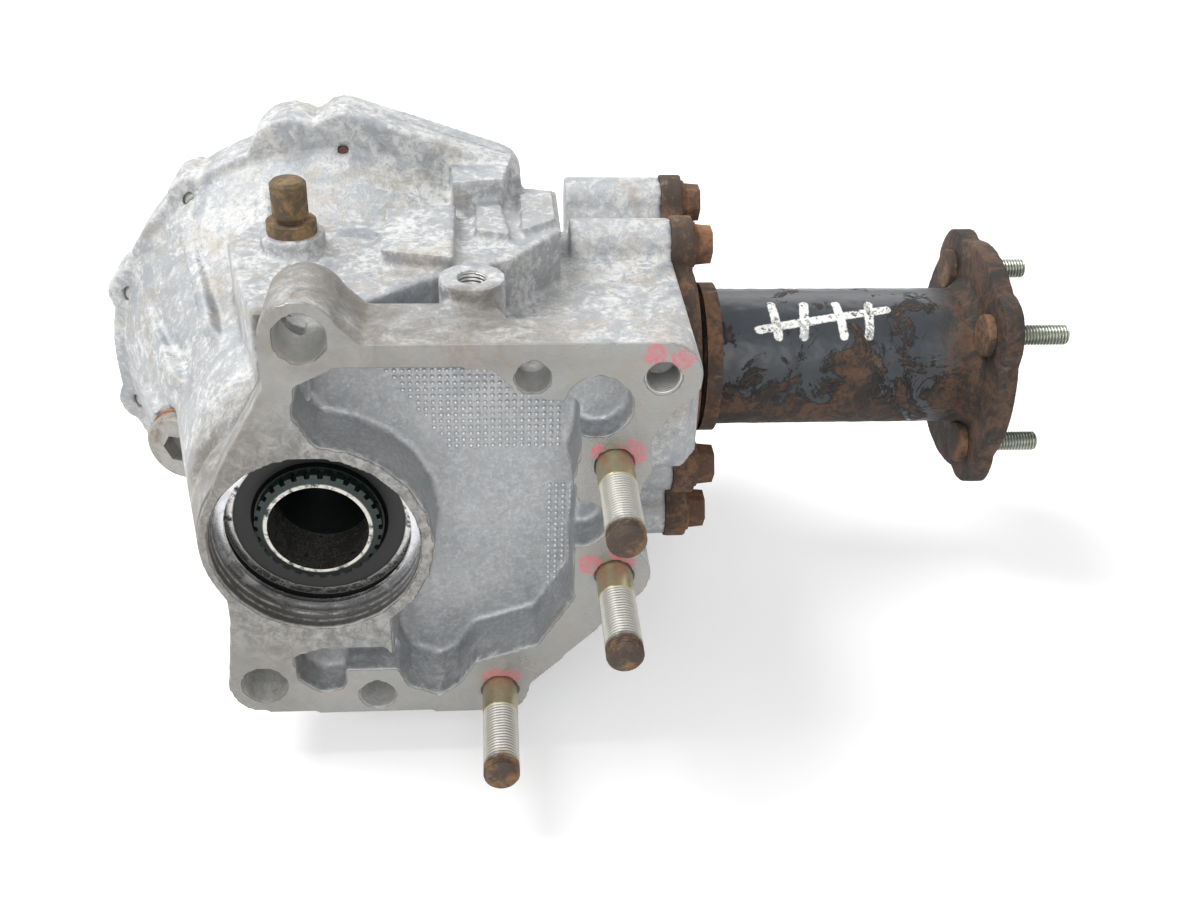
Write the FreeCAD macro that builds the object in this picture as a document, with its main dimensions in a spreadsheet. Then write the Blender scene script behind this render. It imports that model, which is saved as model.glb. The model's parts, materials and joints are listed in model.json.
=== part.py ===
import FreeCAD, Part
import math
import os
import Sketcher

# Transfer case of a front-wheel-drive based four-wheel-drive car, in millimetres.
# Origin: where the input axis meets the mating face. +X runs along the output shaft towards the
# companion flange, +Y runs into the case from the mating face, +Z is up.

# ---------------------------------------------------------------------------------------------
# Driving sizes. Each one is a cell of the spreadsheet, under the same name.
# ---------------------------------------------------------------------------------------------
SIZES = {
    # shafts and the case as a whole
    "output_y": 125.0,            # the output axis lies this far behind the mating face
    "split_y": 137.0,             # plane where the side cover meets the case
    "flange_depth": 28.0,         # thickness of the mating flange
    "case_top": 70.0,             # height of the flat top of the case
    "low_top": 50.0,              # height of the lower ground beside the pinion barrel
    "ledge_top": 58.0,            # height of the step behind the pocket
    "top_edge_x": 82.0,           # the flat top ends here
    "thin_ledge": 15.0,           # depth of the mating flange's top edge at its right end
    "thin_ledge_x": 62.0,         # where that thinner edge starts
    "case_end_x": 125.0,          # machined end face that carries the extension housing
    "cover_edge_x": 72.0,         # the side cover ends here, beside the pinion barrel
    # places on the mating face
    "upper_hole_x": 1.5, "upper_hole_z": 74.4, "upper_hole_dia": 15.4,
    "lower_hole_x": -21.6, "lower_hole_z": -58.1, "lower_hole_dia": 14.8,
    "lower_dowel_x": 16.2, "lower_dowel_z": -63.7, "lower_dowel_dia": 12.0,
    "upper_dowel_x": 69.0, "upper_dowel_z": 61.0, "upper_dowel_dia": 10.7,
    "dowel_depth": 14.0,
    "tapped_x": 108.2, "tapped_z": 60.5, "tapped_depth": 13.0,
    "stud_one_x": 94.6, "stud_one_z": 29.5,
    "stud_two_x": 96.1, "stud_two_z": -14.0,
    "stud_three_x": 58.2, "stud_three_z": -63.1,
    "face_boss_dia": 24.4,        # bosses round the studs and holes of the mating face
    "mating_top": 72.6, "mating_bottom": -72.0,
    "pocket_depth": 22.0,         # recess inside the mating flange
    "ring_wall_dia": 76.0,        # outside of the free-standing ring round the input bore
    "bowl_depth": 30.0, "bowl_radius": 60.0,
    "scoop_x": 89.0, "scoop_z": 50.5, "scoop_dia": 21.0, "scoop_depth": 10.0,
    "side_scoop_x": 85.0, "side_scoop_z": 7.0, "side_scoop_dia": 17.0, "side_scoop_depth": 14.0,
    # studs in the mating face
    "mating_stud_dia": 12.0, "mating_stud_proud": 41.0, "mating_stud_buried": 22.0,
    "stud_neck": 2.0,             # undercut where the threaded foot of a stud meets its shank
    "stud_hole_gap": 0.05,
    # bell round the ring gear
    "rim_dia": 72.6, "bell_front_dia": 88.0, "bell_mid_dia": 114.0, "bell_rear_dia": 172.0,
    "bell_mid_y": 75.0, "split_flange_dia": 180.0, "split_flange_depth": 12.0,
    "gear_room_dia": 134.0,
    "cover_bolt_circle": 167.0, "cover_ear_dia": 20.0, "cover_top_ear_dia": 31.0,
    "cover_flange_depth": 10.0, "cover_wall": 7.0,
    "cover_bolt_dia": 8.0, "cover_bolt_head": 5.5, "cover_bolt_hex": 12.0,
    "cover_dowel_dia": 10.0, "cover_dowel_length": 16.0,
    # input shaft and its seats
    "input_bore_dia": 66.6, "input_hollow_dia": 32.7, "spline_dia": 41.0, "spline_teeth": 30.0,
    "hub_front_y": 10.0, "seal_journal_dia": 42.0, "input_seat_dia": 46.0, "input_bearing_dia": 75.0,
    "input_bearing_y": 26.0, "input_bearing_width": 20.0, "rear_bearing_y": 170.0,
    "rear_bearing_width": 18.0, "input_seal_y": 15.0, "input_seal_width": 9.0,
    "snap_ring_y": 9.5, "snap_ring_wide": 2.0,
    "shaft_flange_dia": 120.0, "shaft_flange_y": 163.0, "shaft_flange_depth": 6.0,
    "shaft_pilot_dia": 80.0, "ring_bolt_circle": 102.0, "ring_bolt_count": 8.0,
    "ring_bolt_dia": 8.0, "ring_bolt_reach": 8.5,
    "cover_boss_dia": 88.0, "cover_boss_y": 197.0, "cover_seal_dia": 60.0,
    # gears
    "ring_teeth": 41.0, "pinion_teeth": 18.0, "gear_module": 3.02, "gear_face": 20.0,
    "spiral_angle": 28.0, "pressure_angle": 20.0, "backlash": 0.35,
    # pinion line
    "head_bearing_x": 70.0, "head_bearing_width": 20.0, "head_seat_dia": 34.0,
    "head_bearing_dia": 72.0, "tail_bearing_x": 102.0, "tail_bearing_width": 17.0,
    "tail_seat_dia": 30.0, "tail_bearing_dia": 62.0, "pinion_spline_dia": 28.0,
    "nut_thread_dia": 22.0, "nut_length": 12.0, "nut_hex": 32.0, "washer_depth": 1.5,
    "pinion_shim_depth": 1.5, "housing_pilot_dia": 84.0, "pilot_gap": 0.05,
    "pinion_room_dia": 69.0, "barrel_dia": 100.0,
    # extension housing and its bolts
    "housing_flange_depth": 8.5, "housing_nose_dia": 72.0, "housing_nose_x": 137.0,
    "housing_bolt_dia": 10.0, "housing_bolt_hex": 14.0, "housing_bolt_head": 7.8,
    "housing_bolt_reach": 22.0, "housing_ear_dia": 24.0, "housing_seal_x": 123.0,
    "housing_seal_width": 9.0,
    # companion flange
    "nose_dia": 44.0, "tube_dia": 55.0, "tube_hollow_dia": 41.0, "tube_start_x": 142.0,
    "flange_face_x": 249.0, "flange_thick": 8.0, "flange_disc_dia": 94.0,
    "flange_bolt_circle": 73.0, "flange_lobe_dia": 33.0, "flange_stud_dia": 8.0, "flange_stud_count": 4.0,
    "flange_turn": 50.0, "stud_press": 0.35,
    "flange_stud_proud": 23.0, "flange_stud_head_dia": 16.4, "flange_stud_head": 3.0,
    "deflector_dia": 60.0, "deflector_x": 139.0, "deflector_width": 6.0,
    # top of the case
    "sensor_x": 51.0, "sensor_y": 35.0, "sensor_boss_dia": 21.0, "sensor_hole_dia": 9.2,
    "sensor_top": 78.0, "sensor_hole_depth": 22.0,
    "breather_x": -9.0, "breather_y": 75.0, "breather_seat": 76.0, "breather_base_dia": 16.7,
    "breather_base": 4.0, "breather_cap_dia": 12.0, "breather_cap": 14.0,
    # plugs
    "plug_head_dia": 25.6, "plug_head": 5.0, "plug_hex": 10.0, "plug_thread_dia": 18.0,
    "plug_reach": 12.0, "plug_gasket": 1.5, "plug_boss_dia": 31.0,
    "filler_x": -55.6, "filler_y": 80.0, "filler_z": -8.9, "filler_turn": 20.0,
    "drain_y": 92.0, "drain_reach": 80.0, "plug_spot_dia": 29.0,
    "seal_gap": 0.05, "roller_gap": 0.05, "bolt_gap": 0.1, "o_ring_dia": 2.0,
}

# Bolts round the cover, as angle from +X towards +Z; the one named top also has the wide ear.
COVER_BOLT_ANGLES = (87.0, 128.0, 160.0, 192.3, 225.0, 256.0, 289.0)
COVER_DOWEL_ANGLES = (100.0, 242.0)
COVER_CORNER_BOLT = (59.0, 72.0)
# Bolts of the extension housing, as (Y, Z) from the output axis.
HOUSING_BOLTS = ((-4.0, 51.0), (31.0, 54.0), (-46.0, -22.0), (-36.0, -50.0), (20.0, -52.0), (53.0, -12.0))

document = FreeCAD.newDocument("transfer_case")
sheet = document.addObject("Spreadsheet::Sheet", "Sizes")


# ---------------------------------------------------------------------------------------------
# Sizes: a number that remembers the spreadsheet formula it comes from
# ---------------------------------------------------------------------------------------------
class Size:
    """A value in millimetres or degrees, with the formula that gives it."""

    def __init__(self, value, text):
        self.value = float(value)
        self.text = text

    def __float__(self):
        return self.value

    def __add__(self, other):
        return Size(self.value + float(other), f"({self.text} + {text_of(other)})")

    def __radd__(self, other):
        return Size(float(other) + self.value, f"({text_of(other)} + {self.text})")

    def __sub__(self, other):
        return Size(self.value - float(other), f"({self.text} - {text_of(other)})")

    def __rsub__(self, other):
        return Size(float(other) - self.value, f"({text_of(other)} - {self.text})")

    def __mul__(self, other):
        return Size(self.value * float(other), f"({self.text} * {text_of(other)})")

    def __rmul__(self, other):
        return Size(float(other) * self.value, f"({text_of(other)} * {self.text})")

    def __truediv__(self, other):
        return Size(self.value / float(other), f"({self.text} / {text_of(other)})")

    def __rtruediv__(self, other):
        return Size(float(other) / self.value, f"({text_of(other)} / {self.text})")

    def __neg__(self):
        return Size(-self.value, f"(-1 * {self.text})")


def text_of(number):
    return number.text if isinstance(number, Size) else f"({float(number):.9g})"


def cosine(angle):
    return Size(math.cos(math.radians(float(angle))), f"cos({text_of(angle)})")


def sine(angle):
    return Size(math.sin(math.radians(float(angle))), f"sin({text_of(angle)})")


cells = {}


def cell(name, value):
    """Put one driving size in the sheet and return it."""
    row = len(cells) + 1
    sheet.set(f"A{row}", name)
    sheet.set(f"B{row}", str(value))
    sheet.setAlias(f"B{row}", name)
    cells[name] = Size(value, f"Sizes.{name}")
    return cells[name]


class Named:
    """Sizes by name, such as d.split_y."""


d = Named()
for size_name, size_value in SIZES.items():
    setattr(d, size_name, cell(size_name, size_value))
cover_bolt_angles = [cell(f"cover_bolt_angle_{n}", a) for n, a in enumerate(COVER_BOLT_ANGLES, 1)]
cover_dowel_angles = [cell(f"cover_dowel_angle_{n}", a) for n, a in enumerate(COVER_DOWEL_ANGLES, 1)]
corner_bolt_x = cell("corner_bolt_x", COVER_CORNER_BOLT[0])
corner_bolt_z = cell("corner_bolt_z", COVER_CORNER_BOLT[1])
housing_bolts = [
    (cell(f"housing_bolt_y_{n}", y), cell(f"housing_bolt_z_{n}", z))
    for n, (y, z) in enumerate(HOUSING_BOLTS, 1)
]
document.recompute()

END = 0.2          # how far a cut runs past the face it opens


# ---------------------------------------------------------------------------------------------
# Bodies, sketches and features
# ---------------------------------------------------------------------------------------------
def bind(thing, path, size):
    """Give a property its value, tied to the sheet where the size comes from it."""
    if isinstance(size, Size):
        thing.setExpression(path, size.text)
        return
    setattr(thing, path, float(size))


def new_body(label):
    body = document.addObject("PartDesign::Body", label)
    body.Label = label
    return body


PLANES = {"x": ("YZ_Plane", 1.0), "y": ("XZ_Plane", -1.0), "z": ("XY_Plane", 1.0)}


def new_sketch(body, name, facing, start):
    """A sketch on the plane across one axis, at a place along that axis."""
    role, sense = PLANES[facing]
    plane = next(part for part in body.Origin.OriginFeatures if part.Role == role)
    sketch = body.newObject("Sketcher::SketchObject", name)
    sketch.AttachmentSupport = [(plane, "")]
    sketch.MapMode = "FlatFace"
    offset = start * sense if isinstance(start, Size) else Size(float(start) * sense, text_of(float(start) * sense))
    sketch.setExpression("AttachmentOffset.Base.z", offset.text)
    return sketch


def fix(sketch, kind, geometry, point, size):
    """Hold one coordinate of a point, or a radius, at a size."""
    if kind == "Radius":
        constraint = Sketcher.Constraint(kind, geometry, float(size))
    else:
        constraint = Sketcher.Constraint(kind, -1, 1, geometry, point, float(size))
    index = sketch.addConstraint(constraint)
    if isinstance(size, Size):
        sketch.setExpression(f"Constraints[{index}]", size.text)


def draw_polygon(sketch, points):
    first = sketch.GeometryCount
    count = len(points)
    for index, (u, v) in enumerate(points):
        next_u, next_v = points[(index + 1) % count]
        start = FreeCAD.Vector(float(u), float(v), 0)
        end = FreeCAD.Vector(float(next_u), float(next_v), 0)
        sketch.addGeometry(Part.LineSegment(start, end))
    joins = [Sketcher.Constraint("Coincident", first + i, 2, first + (i + 1) % count, 1)
             for i in range(count)]
    sketch.addConstraint(joins)
    for index, (u, v) in enumerate(points):
        fix(sketch, "DistanceX", first + index, 1, u)
        fix(sketch, "DistanceY", first + index, 1, v)


def draw_circle(sketch, u, v, radius):
    centre = FreeCAD.Vector(float(u), float(v), 0)
    index = sketch.addGeometry(Part.Circle(centre, FreeCAD.Vector(0, 0, 1), float(radius)))
    fix(sketch, "DistanceX", index, 3, u)
    fix(sketch, "DistanceY", index, 3, v)
    fix(sketch, "Radius", index, 0, radius)


def draw(sketch, outlines):
    for outline in outlines:
        if len(outline) == 3 and not isinstance(outline[0], tuple):
            draw_circle(sketch, *outline)
        else:
            draw_polygon(sketch, outline)


def add_pad(body, name, facing, start, length, *outlines):
    """Material from start onwards along +axis. An outline is a circle (u, v, r) or a list of points."""
    sketch = new_sketch(body, name + "_sketch", facing, start)
    draw(sketch, outlines)
    pad = body.newObject("PartDesign::Pad", name)
    pad.Profile = sketch
    bind(pad, "Length", length)
    pad.Reversed = facing == "y"
    pad.Refine = False
    return pad


def cut_pocket(body, name, facing, start, length, *outlines):
    """A cut from start onwards along +axis."""
    sketch = new_sketch(body, name + "_sketch", facing, start)
    draw(sketch, outlines)
    pocket = body.newObject("PartDesign::Pocket", name)
    pocket.Profile = sketch
    bind(pocket, "Length", length)
    pocket.Reversed = facing != "y"
    pocket.Refine = False
    return pocket


def revolved(kind, body, name, axis, profile):
    """A turned form; the profile is a list of (place along the axis, radius)."""
    facing, start = ("y", d.output_y) if axis == "output" else ("x", 0.0)
    if axis == "upright":
        facing = "y"
    sketch = new_sketch(body, name + "_sketch", facing, start)
    draw_polygon(sketch, [(r, a) for a, r in profile] if axis == "upright" else profile)
    feature = body.newObject(kind, name)
    feature.Profile = sketch
    feature.ReferenceAxis = (sketch, ["V_Axis" if axis == "upright" else "H_Axis"])
    feature.Angle = 360.0
    feature.Refine = False
    return feature


def add_turned(body, name, axis, profile):
    return revolved("PartDesign::Revolution", body, name, axis, profile)


def cut_turned(body, name, axis, profile):
    return revolved("PartDesign::Groove", body, name, axis, profile)


def turned(label, axis, profile):
    """A whole sub-part that is one turned ring or shaft."""
    body = new_body(label)
    add_turned(body, label + "_turned", axis, profile)
    return body


def ring(label, axis, start, width, inner_dia, outer_dia):
    """A plain ring."""
    inner, outer = inner_dia / 2, outer_dia / 2
    end = start + width
    return turned(label, axis, [(start, inner), (end, inner), (end, outer), (start, outer)])


def hexagon(across):
    radius = across / (2 * cosine(30.0))
    return [(radius * cosine(60.0 * n), radius * sine(60.0 * n)) for n in range(6)]


def pattern_round(body, feature, name, axis_sketch_axis, count):
    """Repeat a feature evenly round an axis of its own sketch."""
    pattern = body.newObject("PartDesign::PolarPattern", name)
    pattern.Originals = [feature]
    pattern.Axis = axis_sketch_axis
    pattern.Angle = 360.0
    bind(pattern, "Occurrences", count)
    body.Tip = pattern
    return pattern


TURNS = {
    "+x": FreeCAD.Rotation(FreeCAD.Vector(0, 1, 0), 90),
    "-x": FreeCAD.Rotation(FreeCAD.Vector(0, 1, 0), -90),
    "+y": FreeCAD.Rotation(FreeCAD.Vector(1, 0, 0), -90),
    "-y": FreeCAD.Rotation(FreeCAD.Vector(1, 0, 0), 90),
    "-z": FreeCAD.Rotation(FreeCAD.Vector(1, 0, 0), 180),
    "+z": FreeCAD.Rotation(),
}


def place(thing, path, x, y, z, turn):
    """Put a piece made along +Z at a place, with its +Z turned to point along turn."""
    centre = FreeCAD.Vector(float(x), float(y), float(z))
    setattr(thing, path, FreeCAD.Placement(centre, turn))
    for letter, size in zip("xyz", (x, y, z)):
        if isinstance(size, Size):
            thing.setExpression(f"{path}.Base.{letter}", size.text)


def group(label, pieces):
    """Several separate solids in one sub-part."""
    compound = document.addObject("Part::Compound", label)
    compound.Label = label
    compound.Links = pieces
    return compound


def copies(label, piece, places, turn):
    """Identical pieces at several places, as one sub-part."""
    links = []
    for number, (x, y, z) in enumerate(places, 1):
        link = document.addObject("App::Link", f"{label}_copy_{number}")
        link.LinkedObject = piece
        place(link, "LinkPlacement", x, y, z, turn)
        links.append(link)
    return group(label, links)


def hex_bolt(label, dia, length, hex_across, head):
    """A bolt along +Z: the head stands on z = 0 and the shank runs down to -length."""
    body = new_body(label)
    tip = dia * 0.1
    profile = [(-length, 0.0), (-length, dia / 2 - tip), (-length + tip, dia / 2), (0.0, dia / 2),
               (0.0, hex_across * 0.53), (head * 0.15, hex_across * 0.53), (head * 0.15, 0.0)]
    add_turned(body, label + "_shank", "upright", profile)
    add_pad(body, label + "_head", "z", 0.0, head, hexagon(hex_across))
    return body


def polar(radius, angle):
    return radius * cosine(angle), radius * sine(angle)


# ---------------------------------------------------------------------------------------------
# Sizes that follow from the driving ones
# ---------------------------------------------------------------------------------------------
face_boss = d.face_boss_dia / 2
cover_bolt_reach = d.cover_flange_depth + d.split_flange_depth
cover_bolt_places = [polar(d.cover_bolt_circle / 2, angle) for angle in cover_bolt_angles]
cover_bolt_places += [(corner_bolt_x, corner_bolt_z), (corner_bolt_x, -corner_bolt_z)]
cover_dowel_places = [polar(d.cover_bolt_circle / 2, angle) for angle in cover_dowel_angles]
cover_back_y = d.split_y + d.cover_flange_depth
cover_dome_y = d.shaft_flange_y + d.shaft_flange_depth + d.cover_bolt_head + 2.5
housing_bolt_places = [(d.output_y + y, z) for y, z in housing_bolts]
housing_face_x = d.case_end_x + d.housing_flange_depth
stud_places = [(d.stud_one_x, d.stud_one_z), (d.stud_two_x, d.stud_two_z),
               (d.stud_three_x, d.stud_three_z)]
plug_turn = FreeCAD.Rotation(FreeCAD.Vector(0, 0, 1), -float(d.filler_turn)).multiply(TURNS["-y"])


# ---------------------------------------------------------------------------------------------
# Main case
# ---------------------------------------------------------------------------------------------
def split_outline():
    """Straight shoulders of the split flange towards the pinion barrel, above and below."""
    out = d.cover_edge_x - 3.0
    rise = d.split_flange_dia / 2
    upper = [(-1.0, rise + 9.5), (6.0, rise + 10.0), (14.0, rise + 7.5), (corner_bolt_x + 2.0, corner_bolt_z + 10.0),
             (out, corner_bolt_z - 1.0), (out, 20.0), (4.0, 40.0)]
    lower = [(u, -v) for u, v in upper[3:]] + [(4.0, -(rise - 2.0))]
    return upper, lower


def add_split_flange(body, start, depth):
    """The flange that both halves of the round housing share, with its bolt ears."""
    upper, lower = split_outline()
    add_pad(body, "split_disc", "y", start, depth, (0.0, 0.0, d.split_flange_dia / 2))
    add_pad(body, "split_upper", "y", start, depth, upper)
    add_pad(body, "split_lower", "y", start, depth, lower)
    ears = [d.cover_top_ear_dia] + [d.cover_ear_dia] * (len(cover_bolt_places) - 1)
    add_pad(body, "bolt_ears", "y", start, depth,
            *[(x, z, ear / 2) for (x, z), ear in zip(cover_bolt_places, ears)])
    ears = (d.cover_top_ear_dia, d.cover_ear_dia)
    add_pad(body, "dowel_ears", "y", start, depth,
            *[(x, z, ear / 2) for (x, z), ear in zip(cover_dowel_places, ears)])


def clip_right(body, start, depth):
    """Square off everything beside the pinion barrel."""
    far = d.split_flange_dia
    near = d.cover_edge_x
    cut_pocket(body, "barrel_side", "y", start, depth, [(near, -far), (near + far, -far), (near + far, far), (near, far)])


def add_bolt_webs(body, start, depth, half_width):
    """Tapering webs from the pinion barrel out to each bolt of the extension housing."""
    for number, (y, z) in enumerate(housing_bolts, 1):
        reach = Size(math.hypot(float(y), float(z)), f"sqrt({y.text} ^ 2 + {z.text} ^ 2)")
        across_y, across_z = (-z) / reach * half_width, y / reach * half_width
        add_pad(body, f"bolt_web_{number}", "x", start, depth, [
            (d.output_y + across_y * 2.2, across_z * 2.2), (d.output_y + y + across_y, z + across_z),
            (d.output_y + y - across_y, z - across_z), (d.output_y - across_y * 2.2, across_z * -2.2)])


def main_case():
    body = new_body("main_case")
    # round bell over the ring gear
    add_turned(body, "bell", "input", [
        (0.0, 0.0), (0.0, d.rim_dia / 2), (d.flange_depth, d.bell_front_dia / 2),
        (d.bell_mid_y, d.bell_mid_dia / 2), (d.split_y - d.split_flange_depth, d.bell_rear_dia / 2),
        (d.split_y, d.bell_rear_dia / 2), (d.split_y, 0.0)])
    add_split_flange(body, d.split_y - d.split_flange_depth, d.split_flange_depth)
    clip_right(body, d.split_y - d.split_flange_depth - 40.0, d.split_flange_depth + 41.0)
    # mating flange
    left = d.upper_hole_x - face_boss
    low_left = d.lower_hole_x - face_boss
    add_pad(body, "mating_flange", "y", 0.0, d.flange_depth, [
        (left, d.upper_hole_z), (left, d.upper_hole_z - 16.0), (-26.5, 30.0), (-34.0, 12.0), (-34.0, -12.0),
        (-30.3, -21.0), (-30.3, -31.0), (low_left, d.lower_hole_z), (d.lower_hole_x, d.mating_bottom + 1.5),
        (6.0, d.mating_bottom), (d.stud_three_x, d.mating_bottom - 0.8), (d.stud_three_x + 9.0, d.stud_three_z),
        (d.stud_two_x + face_boss - 1.5, d.stud_two_z - 6.0), (d.stud_two_x + 8.0, d.stud_two_z + 14.0),
        (d.stud_one_x + 8.8, d.stud_one_z - 12.0), (d.stud_one_x + face_boss - 1.0, d.stud_one_z + 8.0),
        (d.tapped_x + 2.8, d.tapped_z - 13.0), (d.tapped_x + face_boss, d.tapped_z - 2.0),
        (d.tapped_x + 9.0, d.mating_top - 3.0), (d.tapped_x, d.mating_top),
        (d.upper_hole_x + 18.0, d.mating_top), (d.upper_hole_x + 11.0, d.upper_hole_z + 5.0)])
    bosses = [(d.upper_hole_x, d.upper_hole_z, face_boss), (d.lower_hole_x, d.lower_hole_z, face_boss),
              (d.tapped_x, d.tapped_z, face_boss), (d.stud_one_x, d.stud_one_z, face_boss),
              (d.stud_two_x, d.stud_two_z, face_boss), (d.stud_three_x, d.stud_three_z, face_boss - 2.0)]
    add_pad(body, "face_bosses", "y", 0.0, d.flange_depth, *bosses)
    # flat-topped part behind the flange, down to the pinion barrel
    end = d.case_end_x
    base = 15.0
    front = 20.0
    add_pad(body, "low_block", "z", base, d.low_top - base, [
        (-14.0, front), (end - 6.0, front), (end, front + 10.0), (end, d.output_y), (d.cover_edge_x, d.split_y - 6.0),
        (40.0, 118.0), (-20.0, 112.0), (-32.0, 80.0), (-24.0, 50.0)])
    add_pad(body, "top_block", "z", base, d.case_top - base, [
        (-14.0, front), (6.0, front + 4.0), (36.0, 50.0), (64.0, 66.0), (d.top_edge_x, 90.0), (d.top_edge_x, 128.0),
        (d.cover_edge_x, d.split_y - 6.0), (40.0, 118.0), (-20.0, 112.0), (-32.0, 80.0), (-24.0, 50.0)])
    add_pad(body, "ledge_step", "z", base, d.ledge_top - base, [
        (6.0, front), (end - 6.0, front), (end - 8.0, 38.0), (30.0, 42.0)])
    cut_pocket(body, "thin_ledge_back", "z", d.ledge_top, 30.0, [
        (d.thin_ledge_x - 4.0, d.flange_depth + END), (d.thin_ledge_x, d.thin_ledge + 2.0), (end + 2.0, d.thin_ledge),
        (end + 2.0, 60.0), (d.thin_ledge_x - 4.0, 48.0)])
    add_pad(body, "raised_box", "z", d.case_top - 2.0, 8.0, [(21.0, 60.0), (45.0, 54.0), (45.0, 100.0), (21.0, 96.0)])
    add_pad(body, "facet_one", "z", d.case_top - 2.0, 6.0, [(52.0, 82.0), (64.0, 78.0), (60.0, 112.0), (52.0, 112.0)])
    add_pad(body, "facet_two", "z", d.case_top - 2.0, 4.5, [(68.0, 84.0), (80.0, 94.0), (80.0, 122.0), (68.0, 118.0)])
    add_pad(body, "rear_lump", "z", d.case_top - 4.0, 16.0, [
        (44.0, 104.0), (62.0, 108.0), (66.0, d.split_y - 2.0), (42.0, d.split_y - 2.0)])
    # tapering ribs between the neck and the split flange
    rib = add_pad(body, "bell_rib", "z", -2.5, 5.0, [
        (d.bell_mid_dia / -2 + 6.0, d.bell_mid_y - 14.0), (d.bell_mid_dia / -2 - 3.0, d.bell_mid_y - 8.0),
        (d.bell_rear_dia / -2 + 1.0, d.split_y - d.split_flange_depth),
        (d.bell_rear_dia / -2 + 12.0, d.split_y - d.split_flange_depth)])
    ribs = body.newObject("PartDesign::PolarPattern", "bell_ribs")
    ribs.Originals = [rib]
    ribs.Axis = (next(part for part in body.Origin.OriginFeatures if part.Role == "Y_Axis"), [""])
    ribs.Angle = 72.0
    ribs.Occurrences = 4
    body.Tip = ribs
    add_pad(body, "barrel", "x", 40.0, end - 40.0, (d.output_y, 0.0, d.barrel_dia / 2))
    add_pad(body, "barrel_web", "z", -45.0, 62.0, [
        (10.0, 20.0), (96.0, 20.0), (104.0, d.output_y - 30.0), (30.0, d.output_y - 20.0)])
    add_pad(body, "bowl_back", "y", front, 16.0, [
        (18.0, -64.0), (52.0, -66.0), (66.0, -58.0), (92.0, -24.0), (92.0, 20.0), (18.0, 20.0)])
    add_pad(body, "bolt_bosses", "x", end - 38.0, 38.0, *[(y, z, d.housing_bolt_dia) for y, z in housing_bolt_places])
    add_bolt_webs(body, end - 38.0, 38.0, d.housing_bolt_dia * 0.9)
    # everything of the case beside the cover is cut back to the split plane
    far = d.split_flange_dia
    edge = d.cover_edge_x + 0.5
    cut_pocket(body, "cover_side", "y", d.split_y, far, [(-far, -far), (edge, -far), (edge, far), (-far, far)])
    # bosses on the top and the plugs' seats
    add_pad(body, "breather_boss", "z", d.case_top - 15.0, d.breather_seat - d.case_top + 15.0,
            (d.breather_x, d.breather_y, d.breather_base_dia / 2 + 2.5))
    add_pad(body, "sensor_boss", "z", d.low_top - 2.0, d.sensor_top - d.low_top + 2.0,
            (d.sensor_x, d.sensor_y, d.sensor_boss_dia / 2))
    add_pad(body, "sensor_web", "z", d.low_top - 2.0, 14.0, [
        (d.sensor_x, d.sensor_y - 3.0), (d.sensor_x + 34.0, d.sensor_y - 3.0), (d.sensor_x + 34.0, d.sensor_y + 3.0),
        (d.sensor_x, d.sensor_y + 3.0)])
    plug_boss = body.newObject("PartDesign::AdditiveCylinder", "plug_boss")
    bind(plug_boss, "Radius", d.plug_boss_dia / 2)
    plug_boss.Height = 35.0
    place(plug_boss, "Placement", d.filler_x, d.filler_y, d.filler_z, plug_turn.multiply(TURNS["-z"]))
    drain_boss = body.newObject("PartDesign::AdditiveCylinder", "drain_boss")
    bind(drain_boss, "Radius", d.plug_boss_dia / 2)
    drain_boss.Height = 30.0
    place(drain_boss, "Placement", 0.0, d.drain_y, -d.drain_reach, TURNS["+z"])
    # pocket in the mating flange, beside the input bore
    floor = d.pocket_depth
    ring_wall = d.ring_wall_dia / 2
    along_ring = [polar(ring_wall, angle) for angle in (-54.0, -36.0, -18.0, 0.0, 18.0, 36.0, 54.0, 70.0, 86.0)]
    cut_pocket(body, "upper_pocket", "y", -END, floor + END, [
        (-3.0, 49.0), (-1.0, 58.5), (10.0, 64.3), (56.5, 64.0), (64.0, 55.5), (77.0, 52.5), (84.0, 46.0),
        (84.0, 36.0), (81.5, 24.0), (84.0, 12.0), (82.5, -7.0), (83.0, -23.0), (71.0, -43.0), (50.0, -50.0),
        (44.0, -60.0), (37.4, -64.5), (27.0, -60.0), (23.0, -50.0), *along_ring])
    cut_pocket(body, "lower_pocket", "y", -END, d.pocket_depth * 0.6 + END, [
        (-11.0, -46.0), (-9.7, -56.0), (-3.4, -61.5), (5.0, -60.5), (6.0, -52.0), (26.0, -52.0), (20.0, -43.0), (-2.0, -43.0)])
    cut_pocket(body, "scoop", "y", -END, d.scoop_depth + END, (d.scoop_x, d.scoop_z, d.scoop_dia / 2))
    cut_pocket(body, "side_scoop", "y", -END, d.side_scoop_depth + END,
               (d.side_scoop_x, d.side_scoop_z, d.side_scoop_dia / 2))
    # smooth bowl that sweeps round the ring below and beside the input bore
    bowl = cut_turned(body, "bowl", "input", [
        (floor - 4.0, ring_wall), (floor + 2.0, ring_wall + 2.0), (floor + 5.0, ring_wall + 8.0),
        (d.bowl_depth - 1.0, d.bowl_radius - 8.0), (d.bowl_depth, d.bowl_radius), (d.bowl_depth - 1.5, d.bowl_radius + 6.0),
        (floor + 3.0, d.bowl_radius + 12.0), (floor - 4.0, d.bowl_radius + 14.0)])
    bowl.Angle = 72.0
    bowl.Reversed = True
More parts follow.
